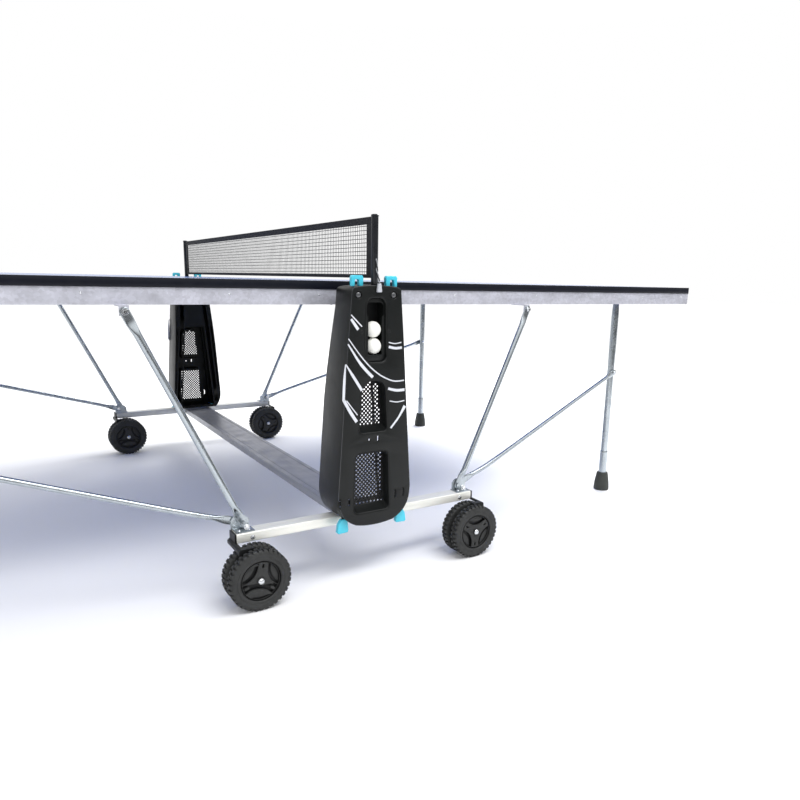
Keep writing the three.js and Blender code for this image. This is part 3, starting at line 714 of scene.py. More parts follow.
def hub(phase):
    """Tri-spoke hub plates on both faces, pads set back in the rim, a barrel and a boss. The barrel and the
    web come back apart so they can take a darker colour, which is painted shade.
    """
    third = 2 * math.pi / 3
    turns = [phase + third * k for k in range(3)]
    openings = [lens(turn, HUB_RADIUS - 1.2, 20.5, math.radians(43)) for turn in turns]
    slots = [spoke_slot(turn + third / 2) for turn in turns]
    plate = prism([circle(0, 0, HUB_RADIUS, 64), circle(0, 0, 9.4, 28)] + openings + slots, 4.6, 9.4, 1.0)
    pad = joined(*(prism([lens(turn, HUB_RADIUS - 2.5, 29, math.radians(34))], 1.4, 5.4, 0.8)
                   for turn in turns))
    half = [(RIM_RADIUS + 0.2, 10.0), (48.4, 10.0), (48.2, 9.6), (48.2, 3.0), (45.6, 3.0)]
    barrel = lathe(half + [(r, -y) for r, y in reversed(half)] + half[:1], 72)
    web = lathe([(0, 1.2), (HUB_RADIUS + 0.8, 1.2), (HUB_RADIUS + 0.8, -1.2), (0, -1.2)], 64)
    boss = lathe([(5.6, 9.8), (6.4, 10.6), (8.2, 10.6), (9.0, 9.8), (9.0, -9.8), (8.2, -10.6),
                  (6.4, -10.6), (5.6, -9.8), (5.6, 9.8)], 40)
    front = joined(plate, mirrored(plate, sy=-1), boss, pad, mirrored(pad, sy=-1))
    return front, joined(barrel, web)


def axle(length):
    """A rod with a washer and a domed nut on each end."""
    cap = [(0, length), (2.6, length - 0.25), (4.9, length - 1.2), (6.3, length - 2.6), (7.0, length - 3.6),
           (7.3, length - 3.7), (7.4, length - 4.4), (5.0, length - 4.45)]
    return lathe(cap + [(r, -y) for r, y in reversed(cap)], 36)


hub_phases = {"near_right": math.radians(88), "near_left": math.radians(140),
              "far_left": math.radians(30), "far_right": math.radians(64)}
for sx, sy in CORNERS:
    where = f"{ENDS[sy]}_{SIDES[sx]}"
    dress(f"wheel_carrier_{where}", black_look, 1.3)
    low, high = span(f"axle_{where}")
    centre = (low + high) / 2
    piece(f"axle_bolt_{where}", "chassis",
          [(moved(axle((high.y - low.y) / 2), centre), bolt_steel)], [f"axle_{where}"])
    for which in ("outer", "inner"):
        node = f"wheel_{where}_{which}"
        low, high = span(node)
        centre = (low + high) / 2
        # The barrel and the web behind the hub's openings take darker black plastic than the plates: painted
        # shade in the gap at the rim and in the openings.
        plates, painted_shade_depths = hub(hub_phases[where] + (0.4 if which == "inner" else 0))
        piece(f"tyre_{where}_{which}", node,
              [(moved(tyre(), centre), tyre_look), (moved(plates, centre), tyre_look),
               (moved(painted_shade_depths, centre), black_look)], [node])


# ---- Hinge brackets --------------------------------------------------------------
for sx, sy in CORNERS:
    where = f"{ENDS[sy]}_{SIDES[sx]}"
    dress(f"hinge_bracket_{where}", zinc, 0.45)
    low, high = span(f"hinge_bracket_{where}")
    outer, inner = (high.y, low.y) if sy > 0 else (low.y, high.y)
    heads = [hex_bolt((sx * 320, outer - sy * 0.4, 184), (0, sy, 0), 9, 3.0),
             hex_bolt((sx * 337, inner + sy * 0.4, 190), (0, -sy, 0), 9, 3.0),
             dome_screw((sx * 311, sy * 819, low.z + 2.6), (0, 0, 1), 4.5, 2.4),
             dome_screw((sx * 335, sy * 819, low.z + 2.6), (0, 0, 1), 4.5, 2.4)]
    piece(f"bracket_bolts_{where}", "chassis", [(joined(*heads), bolt_steel)])


# ---- Arms and struts ----------------------------------------------------------------
def pressed_link(foot, head, foot_y, head_y, tube_foot_y, tube_head_y, radius, bow):
    """A tube pressed flat and rounded off at both ends, where its pivots are."""
    a, b = Vector(foot), Vector(head)
    length = (b - a).length
    along = (b - a) / length
    side = Vector((-along.y, along.x))
    wide, thin, flat, taper = 10.5, 2.2, 20, 54

    def middle_y(s):
        share = min(1, max(0, (s - 70) / (length - 100)))
        if not bow:
            return tube_foot_y + (tube_head_y - tube_foot_y) * share
        soft = 0.05
        eased = (math.sqrt(share * share + soft * soft) - soft) / (math.sqrt(1 + soft * soft) - soft)
        return tube_foot_y + (tube_head_y - tube_foot_y) * eased

    stations = [-wide * math.cos(math.pi / 2 * k / 6) for k in range(7)]
    stations += [flat * 0.5] + [flat + (taper - flat) * k / 6 for k in range(7)]
    tail = [length - s for s in reversed(stations)]
    spans = 26 if bow else 6
    inner = [taper + (length - 2 * taper) * k / spans for k in range(1, spans)]
    rings = []
    for s in stations + inner + tail:
        near = min(s, length - s)
        pin_y, tube_y = (foot_y, middle_y(s)) if s < length / 2 else (head_y, middle_y(s))
        ease = min(1, max(0, (near - flat) / (taper - flat)))
        ease = ease * ease * (3 - 2 * ease)
        width, depth = wide + (radius - wide) * ease, thin + (radius - thin) * ease
        if near < 0:
            width = max(0.6, math.sqrt(max(0, wide * wide - near * near)))
        centre = a + along * s
        y = pin_y + (tube_y - pin_y) * ease
        ring = []
        for k in range(20):
            angle = 2 * math.pi * k / 20
            u, v = math.cos(angle), math.sin(angle)
            power = 2 / (2 + 1.6 * (1 - ease))
            u = math.copysign(abs(u) ** power, u) * width
            v = math.copysign(abs(v) ** power, v) * depth
            ring.append((centre.x + side.x * u, y + v, centre.y + side.y * u))
        rings.append(ring)
    return loft(rings)


ARM_FOOT, ARM_HEAD = (320, 184), (554.5, 689)
STRUT_FOOT, STRUT_HEAD = (337, 190), (1133, 450)
ARM_Y, STRUT_Y, STRUT_HEAD_Y = 803.3, 793.7, 651.0
for sx, sy in CORNERS:
    where = f"{ENDS[sy]}_{SIDES[sx]}"
    arm = pressed_link(ARM_FOOT, ARM_HEAD, ARM_Y, ARM_Y, ARM_Y + 2.7, ARM_Y + 2.7, 8, False)
    piece(f"arm_tube_{where}", f"arm_{where}",
          [(mirrored(arm, sx, sy), zinc)], [f"arm_{where}"])
    strut = pressed_link(STRUT_FOOT, STRUT_HEAD, STRUT_Y, STRUT_HEAD_Y, STRUT_Y - 3.5,
                         STRUT_HEAD_Y + 3.5, 7, True)
    piece(f"strut_tube_{where}", f"strut_{where}",
          [(mirrored(strut, sx, sy), zinc)], [f"strut_{where}"])


# ---- Table halves -----------------------------------------------------------------
def edge_profile(sx, low, high):
    """A rounded band round one half, standing a little proud of the skirt."""
    wall = 2.8
    inner_x, outer_x = (low.x, high.x) if sx > 0 else (high.x, low.x)
    half = (high.y - low.y) / 2
    corners = [(inner_x, -half, 3), (outer_x, -half, 7.5), (outer_x, half, 7.5), (inner_x, half, 3)]
    outside = rounded(corners, 6)
    x0, x1 = min(inner_x, outer_x) + wall, max(inner_x, outer_x) - wall
    hole = rectangle(x0, x1, -half + wall, half - wall, 1.0)
    return moved(prism([outside, hole], low.z, high.z, 0.7), (0, 0, 0), UPRIGHT)


SKIRT_FACE, SKIRT_FOOT = 759.4, 702.2


def skirt_details(sx, low, high):
    """Return lips under the skirt, corner gussets, screws and the arms' pivot bolts."""
    lip, sheet = 15.0, 1.4
    x0, x1 = low.x, high.x
    half, foot = SKIRT_FACE, SKIRT_FOOT
    outside = rectangle(x0 + 0.4, x1 - 0.4, -half + 0.4, half - 0.4, 2)
    inside = rectangle(x0 + lip, x1 - lip, -half + lip, half - lip, 6)
    lips = moved(prism([outside, inside], foot, foot + sheet, 0.5, 1), (0, 0, 0), UPRIGHT)
    shapes, heads = [lips], []
    for gx in (x0, x1):
        for sy in (NEAR, FAR):
            inward = 1 if gx == x0 else -1
            edge = gx + inward * 4
            corner = [(edge, sy * 755, 2), (gx + inward * 70, sy * 755, 6), (edge, sy * 690, 6)]
            gusset = prism([[(x, -y) for x, y in rounded(corner, 3)]], 705, 707, 0.4, 1)
            shapes.append(moved(gusset, (0, 0, 0), UPRIGHT))
            for reach in (18, 50):
                heads.append(dome_screw((gx + inward * reach, sy * 747, foot), (0, 0, -1), 4, 2.2))
    for sy in (NEAR, FAR):
        for x in (96, 320, 629, 850, 1120, 1330):
            heads.append(dome_screw((sx * x, sy * half, 726), (0, sy, 0), 2.4, 1.2))
        heads.append(hex_bolt((sx * ARM_HEAD[0], sy * 808.5, ARM_HEAD[1]), (0, sy, 0), 9, 3))
    return joined(*shapes), joined(*heads)


for sx in (LEFT, RIGHT):
    side = SIDES[sx]
    dress(f"panel_{side}", top_look, 0.35, 1)
    low, high = span(f"edge_trim_{side}")
    piece(f"edge_band_{side}", f"half_{side}",
          [(edge_profile(sx, low, high), trim_look)], [f"edge_trim_{side}"])
    dress(f"frame_{side}", skirt_steel, 0.6)
    low, high = span(f"panel_{side}")
    sheets, heads = skirt_details(sx, low, high)
    piece(f"skirt_lips_{side}", f"half_{side}", [(sheets, skirt_steel), (heads, bolt_steel)])

    # The roller shaft: a rod with a grooved roller at each end.
    low, high = span(f"roller_shaft_{side}")
    reach = high.y
    centre = ((low.x + high.x) / 2, 0, (low.z + high.z) / 2)
    rod = lathe([(0, reach), (6, reach), (7, reach - 1), (7, -reach + 1), (6, -reach), (0, -reach)], 28)
    wheels = []
    for sy in (NEAR, FAR):
        profile = [(7.05, 827), (9.2, 827), (10, 828), (10, 834), (9, 835), (9, 838), (10, 839),
                   (10, 845), (9.2, 846), (7.05, 846), (7.05, 827)]
        wheels.append(lathe([(r, sy * y) for r, y in profile], 36))
    piece(f"roller_rod_{side}", f"carriage_{side}",
          [(moved(rod, centre), zinc), (moved(joined(*wheels), centre), black_look)],
          [f"roller_shaft_{side}"])


# ---- Legs and feet ------------------------------------------------------------------
LEG_X, LEG_Y, LEG_TOP = 1133, 634, 738


def swaged_hoop(x):
    """A bent tube: thick below, drawn down to its top bar over each upper bend."""
    path = bend([(x, -LEG_Y, 60), (x, -LEG_Y, LEG_TOP), (x, LEG_Y, LEG_TOP), (x, LEG_Y, 60)], 40, 12)
    fine = []
    for a, b in zip(path, path[1:]):
        pieces = max(1, int((Vector(b) - Vector(a)).length / 20))
        fine += [Vector(a).lerp(Vector(b), k / pieces) for k in range(pieces)]
    fine.append(Vector(path[-1]))
    rings, sides = [], 24
    for i, point in enumerate(fine):
        along = (fine[min(i + 1, len(fine) - 1)] - fine[max(i - 1, 0)]).normalized()
        out = Vector((0, -along.z, along.y))
        radius = 10.0 if abs(point.y) < LEG_Y - 8 else 12.5 - 2.5 * min(1, max(0, (point.z - 660) / 50))
        rings.append([point + radius * (math.cos(2 * math.pi * k / sides) * Vector((1, 0, 0))
                                        + math.sin(2 * math.pi * k / sides) * out) for k in range(sides)])
    return loft(rings)


for sx in (LEFT, RIGHT):
    side = SIDES[sx]
    x = sx * LEG_X
    sleeves, pins, shoes = [], [], []
    for sy in (NEAR, FAR):
        sleeves.append(moved(lathe([(10.1, -16), (11.4, -15), (11.4, 15), (10.1, 16), (10.1, -16)], 28),
                             (x, sy * 592, LEG_TOP)))
        shoe = [(0, 7), (14.4, 7), (14.4, 146), (13.9, 150), (13.0, 152), (12.4, 152.3), (0, 152.3)]
        shoes.append(moved(lathe(shoe, 32, "Z"), (x, sy * LEG_Y, 0)))
        inner = LEG_Y + 5 if sy > 0 else -LEG_Y - 24
        pins.append(moved(lathe([(0, 0), (4, 0), (4, 19), (0, 19)], 20), (x, inner, 450)))
        pins.append(hex_bolt((x, sy * (STRUT_HEAD_Y + 3), 450), (0, sy, 0), 9, 3))
        pins.append(dome_screw((x, sy * (LEG_Y - 11.6), 450), (0, -sy, 0), 5.5, 3))
    piece(f"leg_hoop_{side}", f"leg_{side}",
          [(joined(swaged_hoop(x), *shoes), zinc), (joined(*sleeves), black_look),
           (joined(*pins), bolt_steel)], [f"leg_frame_{side}"])
    for sy in (NEAR, FAR):
        node = f"foot_{ENDS[sy]}_{side}"
        profile = [(0, 0), (25.6, 0), (27.2, 0.8), (28.2, 2.6), (28.3, 6), (28.0, 14), (27.2, 24), (26.0, 34),
                   (24.3, 44), (22.2, 56), (21.2, 62), (20.6, 63), (20.5, 65.6), (20.0, 67), (18.9, 67.8),
                   (15.6, 67.8), (15.0, 66), (15.0, 6), (0, 6)]
        shape = lathe(profile, 44, "Z")
        piece(f"foot_bell_{ENDS[sy]}_{side}", f"leg_{side}",
              [(moved(shape, (x, sy * LEG_Y, 0)), foot_look)], [node])


# ---- Central modules ------------------------------------------------------------------
def quadratic(p0, p1, p2, steps=8):
    one = tuple(a + (b - a) * 2 / 3 for a, b in zip(p0, p1))
    two = tuple(c + (b - c) * 2 / 3 for b, c in zip(p1, p2))
    return bezier(p0, one, two, p2, steps)


def straight(p0, p1, *levels):
    """Points on a line at the given heights, ending at p1."""
    out = [(p0[0] + (p1[0] - p0[0]) * (z - p0[1]) / (p1[1] - p0[1]), z) for z in levels]
    return out + [p1]


NOTCH_TOP = 171.0
BACK_LINE = ((767.0, 470.0), (774.0, 545.0), (798.0, 700.0))
(BACK, BEND), (MIDDLE_BACK, SLOPE_START), (BACK_TOP, SLOPE_END) = BACK_LINE
NOTCH_BACK = 837.5
FACE, SHELL_FRONT, WALL = 882.6, 880.0, 3.0


def module_outline():
    """The housing's outline in X and Z, anticlockwise from the top left."""
    half = [(0, 752.5)]
    half += quadratic((0, 752.5), (34, 752.5), (58, 748), 6)
    half += quadratic((58, 748), (67, 747), (68, 738), 5)
    half += straight((68, 738), (78, 615), 715, SLOPE_END, 665, 640)
    half += straight((78, 615), (104, 245), 580, SLOPE_START, 510, BEND, 440, 400, 360, 320, 280)
    lower = bezier((104, 245), (106, 200), (92, 172), (55, 155), 14)
    cut = next(i for i, p in enumerate(lower) if p[1] < NOTCH_TOP)
    a, b = lower[cut - 1], lower[cut]
    at = a[0] + (b[0] - a[0]) * (NOTCH_TOP - a[1]) / (b[1] - a[1])
    lower[cut:cut] = [(at + 0.1, NOTCH_TOP + 0.05), (at, NOTCH_TOP - 0.05)]
    half += lower
    half += quadratic((55, 155), (30, 148.5), (0, 148.5), 6)
    mirror = [(-x, z) for x, z in reversed(half[1:-1])]
    return (half + mirror)[::-1]


outline = module_outline()


def back_at(z):
    if z < NOTCH_TOP:
        return NOTCH_BACK
    if z < SLOPE_START:
        return BACK + (MIDDLE_BACK - BACK) * max(0, (z - BEND) / (SLOPE_START - BEND))
    return MIDDLE_BACK + (BACK_TOP - MIDDLE_BACK) * min(1, (z - SLOPE_START) / (SLOPE_END - SLOPE_START))


def half_width(z, inward):
    """Half the outline's width at a height on its straight sides."""
    level = [(a, b) for a, b in zip(outline, outline[1:] + outline[:1])
             if min(a[1], b[1]) <= z <= max(a[1], b[1]) and a[0] > 0 and abs(a[1] - b[1]) > 1e-6]
    a, b = level[0]
    return a[0] + (b[0] - a[0]) * (z - a[1]) / (b[1] - a[1]) - inward


def shell_wall():
    """The side wall: out along the outside, round the back edge and back inside."""
    layers = [(2.2, lambda z: SHELL_FRONT), (0.7, lambda z: SHELL_FRONT - 0.7),
              (0.0, lambda z: SHELL_FRONT - 2.4),
              (0.0, lambda z: back_at(z) + 2.4), (0.6, lambda z: back_at(z) + 0.6), (1.8, back_at),
              (WALL, lambda z: back_at(z) + 0.6), (WALL, lambda z: SHELL_FRONT - 0.4)]
    rings = []
    for distance, depth in layers:
        line = inset(outline, distance) if distance else outline
        rings.append([(x, depth(source[1]), z) for (x, z), source in zip(line, outline)])
    return closed_loft(rings)


def track(z):
    """The roller slot's middle, as X at a height."""
    return 40 + (722 - z) * 43.4 / 518


SLOT_HALF = 8.2


def shell_back():
    """The back wall, in panels beside the two roller slots, with windows in the lower one."""
    inward = WALL - 0.6
    low_end = 204
    levels = (SLOPE_START, 510, BEND, 400, 320, 260, 230, 205, 190, 178, NOTCH_TOP + 0.4)
    lower = [(-half_width(z, inward), z) for z in levels]
    lower += [(-x, z) for x, z in reversed(lower)]
    for sx in (RIGHT, LEFT):
        edge = [(track(SLOPE_START) + SLOT_HALF, SLOPE_START)]
        edge += [(track(low_end) + SLOT_HALF * math.cos(a), low_end + SLOT_HALF * math.sin(a))
                 for a in [-math.pi * k / 10 for k in range(11)]]
        edge += [(track(SLOPE_START) - SLOT_HALF, SLOPE_START)]
        lower += edge if sx == RIGHT else [(-x, z) for x, z in reversed(edge)]
    guide = SLOT_HALF + 6
    head, middle_foot, side_foot = 540, 182, 260
    sills = ((-1, head), (-1, middle_foot), (1, middle_foot), (1, head))
    holes = [rounded([(sx * (track(z) - guide), z, 6) for sx, z in sills], 5)]
    for sx in (LEFT, RIGHT):
        inner = [(sx * (track(z) + guide), z, 2) for z in (side_foot, head)]
        outer = [(sx * half_width(z, 4.6), z, 2) for z in (side_foot, head)]
        holes.append(rounded([inner[0], outer[0], outer[1], inner[1]], 3))
    points, faces = prism([lower] + holes, BACK, BACK + WALL, 0.5, 1)
    shapes = [([Vector((p.x, p.y + back_at(max(p.z, NOTCH_TOP)) - BACK, p.z)) for p in points], faces)]
    rise = (BACK_TOP - MIDDLE_BACK) / (SLOPE_END - SLOPE_START)
    a, b = SLOPE_START, SLOPE_END
    between = [(track(z) - SLOT_HALF, z) for z in (a, b)]
    strips = [[(-between[0][0], a), between[0], between[1], (-between[1][0], b)]]
    for sx in (LEFT, RIGHT):
        strips.append([(sx * (track(a) + SLOT_HALF), a), (sx * half_width(a, inward), a),
                       (sx * half_width(b, inward), b), (sx * (track(b) + SLOT_HALF), b)])
    for strip in strips:
        points, faces = prism([strip], MIDDLE_BACK, MIDDLE_BACK + WALL)
        shapes.append(([Vector((p.x, p.y + rise * (p.z - a), p.z)) for p in points], faces))
    top = [(-half_width(b, inward), b), (-half_width(734, inward), 734), (-60, 746), (0, 749.5), (60, 746),
           (half_width(734, inward), 734), (half_width(b, inward), b)]
    for sx in (RIGHT, LEFT):
        arch = [(track(722) + SLOT_HALF * math.cos(c), 722 + SLOT_HALF * math.sin(c)) for c in
                [math.pi * k / 10 for k in range(11)]]
        edge = [(track(b) + SLOT_HALF, b)] + arch + [(track(b) - SLOT_HALF, b)]
        top += edge if sx == RIGHT else [(-x, z) for x, z in reversed(edge)]
    shapes.append(prism([top], BACK_TOP, BACK_TOP + WALL))
    return joined(*shapes)


def inside(loop, x, z):
    hit = False
    for (x0, z0), (x1, z1) in zip(loop, loop[1:] + loop[:1]):
        if (z0 > z) != (z1 > z) and x < x0 + (x1 - x0) * (z - z0) / (z1 - z0):
            hit = not hit
    return hit


def anticlockwise(loop):
    return loop if signed_area(loop) > 0 else loop[::-1]


POCKETS = {
    "ball": anticlockwise(rounded([(-31, 568, 15), (29, 568, 15), (24, 722, 17), (-26, 722, 17)], 7)),
    "middle": anticlockwise(rounded([(-46, 393, 9), (33, 393, 9), (25, 521, 26), (-36, 521, 30)], 8)),
    "lower": anticlockwise(rounded([(-60, 186, 13), (42, 186, 11), (36, 339, 13), (-54, 339, 15)], 7)),
}
POCKET_FLOOR = FACE - 27.2
LIP = 3.2
SILL, SILL_FADE = 13.0, 20.0      # the sloped foot of the two lower pockets
HOLE, HOLE_STEP, ROW_STEP = 2.3, 10.6, 5.5


BALL_FLOOR, RACK_FACE, RACK_SHELF = 841.9, 876.0, 585.0


def pocket_wall(loop, floor, sill=0.0):
    """From a rounded lip at the face, with a little draft, to the floor. The foot rises by the sill."""
    foot = min(z for x, z in loop)
    layers = [(-LIP, FACE), (-LIP * 0.62, FACE - 0.25), (-LIP * 0.29, FACE - 0.95),
              (-LIP * 0.08, FACE - 2.0), (0, FACE - LIP),
              (0.9, floor + 1.4), (1.5, floor + 0.3), (2.6, floor)]
    back = [(2.6, floor - 1.2), (-0.6, floor - 1.2), (-1.4, FACE - LIP - 2), (-LIP, FACE - 2.1)]
    rings = []
    for distance, y in layers + back:
        rise = sill * min(1, max(0, (FACE - LIP - y) / (FACE - LIP - floor)))
        rings.append([(x, y, z + rise * max(0, 1 - (z - foot) / SILL_FADE))
                      for x, z in (inset(loop, distance) if distance else loop)])
    return closed_loft(rings)


def ball_rack():
    """The slotted plate across the ball pocket, and the shelf behind its foot."""
    corners = [(-20, RACK_SHELF, 4), (18, RACK_SHELF, 4), (18, 677, 4), (23, 682, 4), (22, 706, 6),
               (16, 712, 6), (-18, 712, 6), (-24, 706, 6), (-25, 682, 4), (-20, 677, 4)]
    slot = anticlockwise(rounded(corners, 4))
    plate = prism([inset(POCKETS["ball"], 0.4), slot], RACK_FACE - 2.4, RACK_FACE, 0.7)
    shelf = prism([rectangle(-29.5, 27.5, 570, RACK_SHELF, 3)], BALL_FLOOR, RACK_FACE - 2.6, 0.4)
    return joined(plate, shelf)


def perforated(loop):
    """The pocket's back, with staggered rows of round holes."""
    edge = inset(loop, 6.4)
    holes = []
    row, z = 0, min(p[1] for p in loop) + SILL + 3.5
    while z < max(p[1] for p in loop):
        x = -72 + (HOLE_STEP / 2 if row % 2 else 0)
        while x < 72:
            if inside(edge, x, z):
                holes.append(circle(x, z, HOLE, 8, math.pi / 8))
            x += HOLE_STEP
        z += ROW_STEP
        row += 1
    return prism([inset(loop, 1.8)] + holes, POCKET_FLOOR - 0.9, POCKET_FLOOR + 0.5)


def curved_slot(x, z0, z1, bow):
    width = 1.7
    levels = [z0 + (z1 - z0) * k / 6 for k in range(7)]
    middle = [(x + bow * math.sin(math.pi * (z - z0) / (z1 - z0)), z) for z in levels]
    return [(px - width, pz) for px, pz in middle] + [(px + width, pz) for px, pz in reversed(middle)]


def stripe(points, start, end, rise=0.25):
    """A flat painted band along a smooth line, its width going from start to end."""
    fine = smooth_path(points, 6)
    one, two = [], []
    for i, point in enumerate(fine):
        along = (fine[min(i + 1, len(fine) - 1)] - fine[max(i - 1, 0)]).normalized()
        side = Vector((-along.y, along.x))
        half = (start + (end - start) * min(1, 2.2 * i / (len(fine) - 1))) / 2
        one.append(tuple(point + side * half))
        two.append(tuple(point - side * half))
    return prism([one + two[::-1]], FACE - 0.3, FACE + rise)


def stripes():
    """Plain bands: slanted pairs, one long sweep, short bars and a chevron."""
    bands = [
        stripe([(-70, 683), (-41, 655)], 2.6, 3.0), stripe([(-70, 673), (-51, 648)], 5.5, 7.0),
        stripe([(-77, 627), (-50, 592), (-24, 563), (-2, 544), (20, 530), (50, 518), (80, 518)],
               2.4, 3.2),
        stripe([(-78, 614), (-50, 573), (-29, 549), (-10, 531)], 3.0, 7.5),
        stripe([(34, 615), (52, 611.5), (70, 614)], 2.6, 2.6),
        stripe([(34, 604), (53, 600), (72, 601)], 6.2, 6.2),
        stripe([(-84, 566), (-62, 533), (-40, 500)], 2.0, 7.0),
        stripe([(-85, 566), (-88, 525), (-90, 478)], 1.6, 6.5),
        stripe([(-89, 479), (-71, 448), (-54, 423)], 7.5, 8.0), stripe([(-82, 478), (-52, 440)], 2.4, 2.6),
        stripe([(34, 500), (58, 494), (82, 494)], 6.0, 6.8),
        stripe([(39, 468), (60, 464), (82, 466)], 2.6, 2.6),
        stripe([(84, 452), (66, 424), (43, 398)], 9.0, 5.0),
    ]
    return joined(*bands)


def edge_bead(loop, y, radius):
    """A fine rounded bead that follows an outline and closes on itself."""
    rings = []
    for angle in [2 * math.pi * k / 8 for k in range(8)]:
        line = inset(loop, radius * math.cos(angle))
        rings.append([(x, y + radius * math.sin(angle), z) for x, z in line])
    return closed_loft(rings)


SCREW_X, SCREW_Z = (-50, 47), 729.5


def front_plate(sy):
    slots = [curved_slot(-99, 210, 229, -1.5), curved_slot(-75, 211, 228, 1.5),
             curved_slot(59, 212, 233, 1.5), curved_slot(84, 212, 234, 1.5),
             rectangle(4.2, 7.6, 369, 382, 1.6), rectangle(-20.5, -16.5, 372, 377, 0.8)]
    holes = [inset(loop, -LIP) for loop in POCKETS.values()]
    holes += [circle(x, SCREW_Z, 8.6, 28) for x in SCREW_X]
    face = prism([outline] + holes + slots, SHELL_FRONT + 0.3, FACE, 2.0, 4)
    # A bead of glossy grey, lighter than the shell, round the plate's edge: it catches real highlights, and
    # its lighter colour is a painted highlight along that edge.
    rim = edge_bead(inset(outline, 1.1), FACE - 0.9, 0.85)
    walls = joined(pocket_wall(POCKETS["ball"], BALL_FLOOR),
                   pocket_wall(POCKETS["middle"], POCKET_FLOOR, SILL),
                   pocket_wall(POCKETS["lower"], POCKET_FLOOR, SILL), ball_rack())
    floor = prism([inset(POCKETS["ball"], 1.8)], BALL_FLOOR - 0.9, BALL_FLOOR + 0.2)
    grilles = joined(perforated(POCKETS["middle"]), perforated(POCKETS["lower"]), floor)
    pads = [prism([rectangle(x0, x1, z0, z1, 3)], FACE - 0.4, FACE + 0.5, 0.4)
            for x0, x1, z0, z1 in ((-95, -79, 212, 228), (63, 80, 214, 232))]
    dome = [(7.4, FACE - 5.4), (7.5, FACE - 4.2), (7.1, FACE - 2.4), (6.2, FACE - 0.9), (4.8, FACE + 0.3),
            (2.6, FACE + 1.05), (0, FACE + 1.3)]
    seat = [(0, FACE - 6.2), (8.8, FACE - 6.2), (8.8, FACE - 5.2), (0, FACE - 5.2)]
    heads = [lathe(dome, 32, "Y", (x, 0, SCREW_Z)) for x in SCREW_X]
    rings = [lathe(seat, 28, "Y", (x, 0, SCREW_Z)) for x in SCREW_X]
    button = [(0, FACE + 0.6), (3.8, FACE + 0.5), (4.8, FACE - 0.2), (0, FACE - 0.2)]
    plugs = [lathe(button, 24, "Y", (x, 0, 642)) for x in (-41.5, 34.5)]
    parts = [(joined(face, walls), shell_look), (grilles, black_look),
             (joined(*pads, *rings, *plugs), black_look), (joined(*heads, rim), gloss_look),
             (stripes(), stripe_look)]
    return [(mirrored(shape, sy=sy), look) for shape, look in parts]


HOOK = ((32, 749, 0.8), (31, 770, 2), (34, 775, 2.5), (60, 775, 2.5), (63, 770, 2), (62, 749, 0.8),
        (54.5, 749, 0.8), (53.5, 765, 2.5), (43, 765, 2.5), (42, 749, 0.8))
TAB = ((73, 172, 1), (90, 172, 1), (98, 160, 3), (101, 138, 2), (97, 135, 2), (72, 136, 2), (70, 142, 1.5))
LATCH_Y = 865

for sy in (NEAR, FAR):
    end = ENDS[sy]
    shell = mirrored(joined(shell_wall(), shell_back()), sy=sy)
    piece(f"housing_{end}", "chassis", [(shell, shell_look)], [f"module_shell_{end}"])
    piece(f"housing_face_{end}", "chassis", front_plate(sy), [f"module_front_{end}"])

    low, high = span(f"net_post_{end}")
    centre = ((low.x + high.x) / 2, (low.y + high.y) / 2, 0)
    top = high.z
    post = [(0, low.z), (8, low.z), (8.5, low.z + 1), (8.5, top - 6), (9.3, top - 5.4), (9.5, top - 4.4),
            (9.4, top - 2.4), (8.0, top - 0.9), (5, top - 0.2), (0, top)]
    piece(f"net_tube_{end}", "chassis",
          [(moved(lathe(post, 36, "Z"), centre), post_look)], [f"net_post_{end}"])

    for sx in (LEFT, RIGHT):
        name = f"latch_{end}_{SIDES[sx]}"
        y = sy * LATCH_Y
        hook = rounded([(sx * x, z, r) for x, z, r in HOOK], 4)
        tab = rounded([(sx * x, z, r) for x, z, r in TAB], 4)
        rod = tube([(sx * 36.8, y, 760), (sx * 85, y, 155)], 3.5, 16)
        shape = joined(prism([hook], y - 6, y + 6, 1.3, 3), prism([tab], y - 6, y + 6, 1.3, 3))
        piece(f"catch_{end}_{SIDES[sx]}", name,
              [(shape, cyan_look), (rod, black_look)], [name])


# ---- Net, cord and balls -------------------------------------------------------------
NET_REACH = (net_high.y - net_low.y) / 2 / MM
NET_FOOT, NET_TOP = net_low.z / MM, net_high.z / MM
TAPE, SELVEDGE, END_BAND = 17.0, 9.0, 30.0
ROWS, PITCH = 12, 9.6


def strand(start, end, radius, pieces=1, wander=0.0):
    path = []
    for k in range(pieces + 1):
        point = Vector(start).lerp(Vector(end), k / pieces)
        if 0 < k < pieces:
            point.x += random.uniform(-wander, wander)
            point.z += random.uniform(-wander, wander)
        path.append(point)
    return tube(path, radius, 5)


def net_mesh():
    low, high = NET_FOOT + SELVEDGE - 1, NET_TOP - TAPE + 1
    strands = []
    for row in range(ROWS):
        z = low + 2 + (high - low - 2) * (row + 0.5) / ROWS
        strands.append(strand((0.5, -NET_REACH + 4, z), (0.5, NET_REACH - 4, z), 0.8, 60, 0.18))
    count = int(2 * (NET_REACH - END_BAND) / PITCH)
    for column in range(count + 1):
        y = -NET_REACH + END_BAND + 2 * (NET_REACH - END_BAND) * column / count
        strands.append(strand((-0.3, y, low), (-0.3, y, high), 0.62, 6, 0.16))
    return joined(*strands)


def tape(y0, y1, z0, z1, half, ripple=0.0):
    """A folded cloth band round the net, with soft edges and a faint ripple."""
    steps = max(2, int(abs(y1 - y0) / 12))
    rings = []
    for k in range(steps + 1):
        y = y0 + (y1 - y0) * k / steps
        lean = ripple * math.sin(y / 47.0) + ripple * 0.6 * math.sin(y / 21.0 + 1)
        edge = 1.0
        section = [(-half, z0 + edge), (-half * 0.6, z0), (half * 0.6, z0), (half, z0 + edge),
                   (half * 0.85, (z0 + z1) / 2), (half, z1 - edge), (half * 0.6, z1), (-half * 0.6, z1),
                   (-half, z1 - edge), (-half * 0.85, (z0 + z1) / 2)]
        rings.append([(x + lean, y, z) for x, z in section])
    return loft(rings)


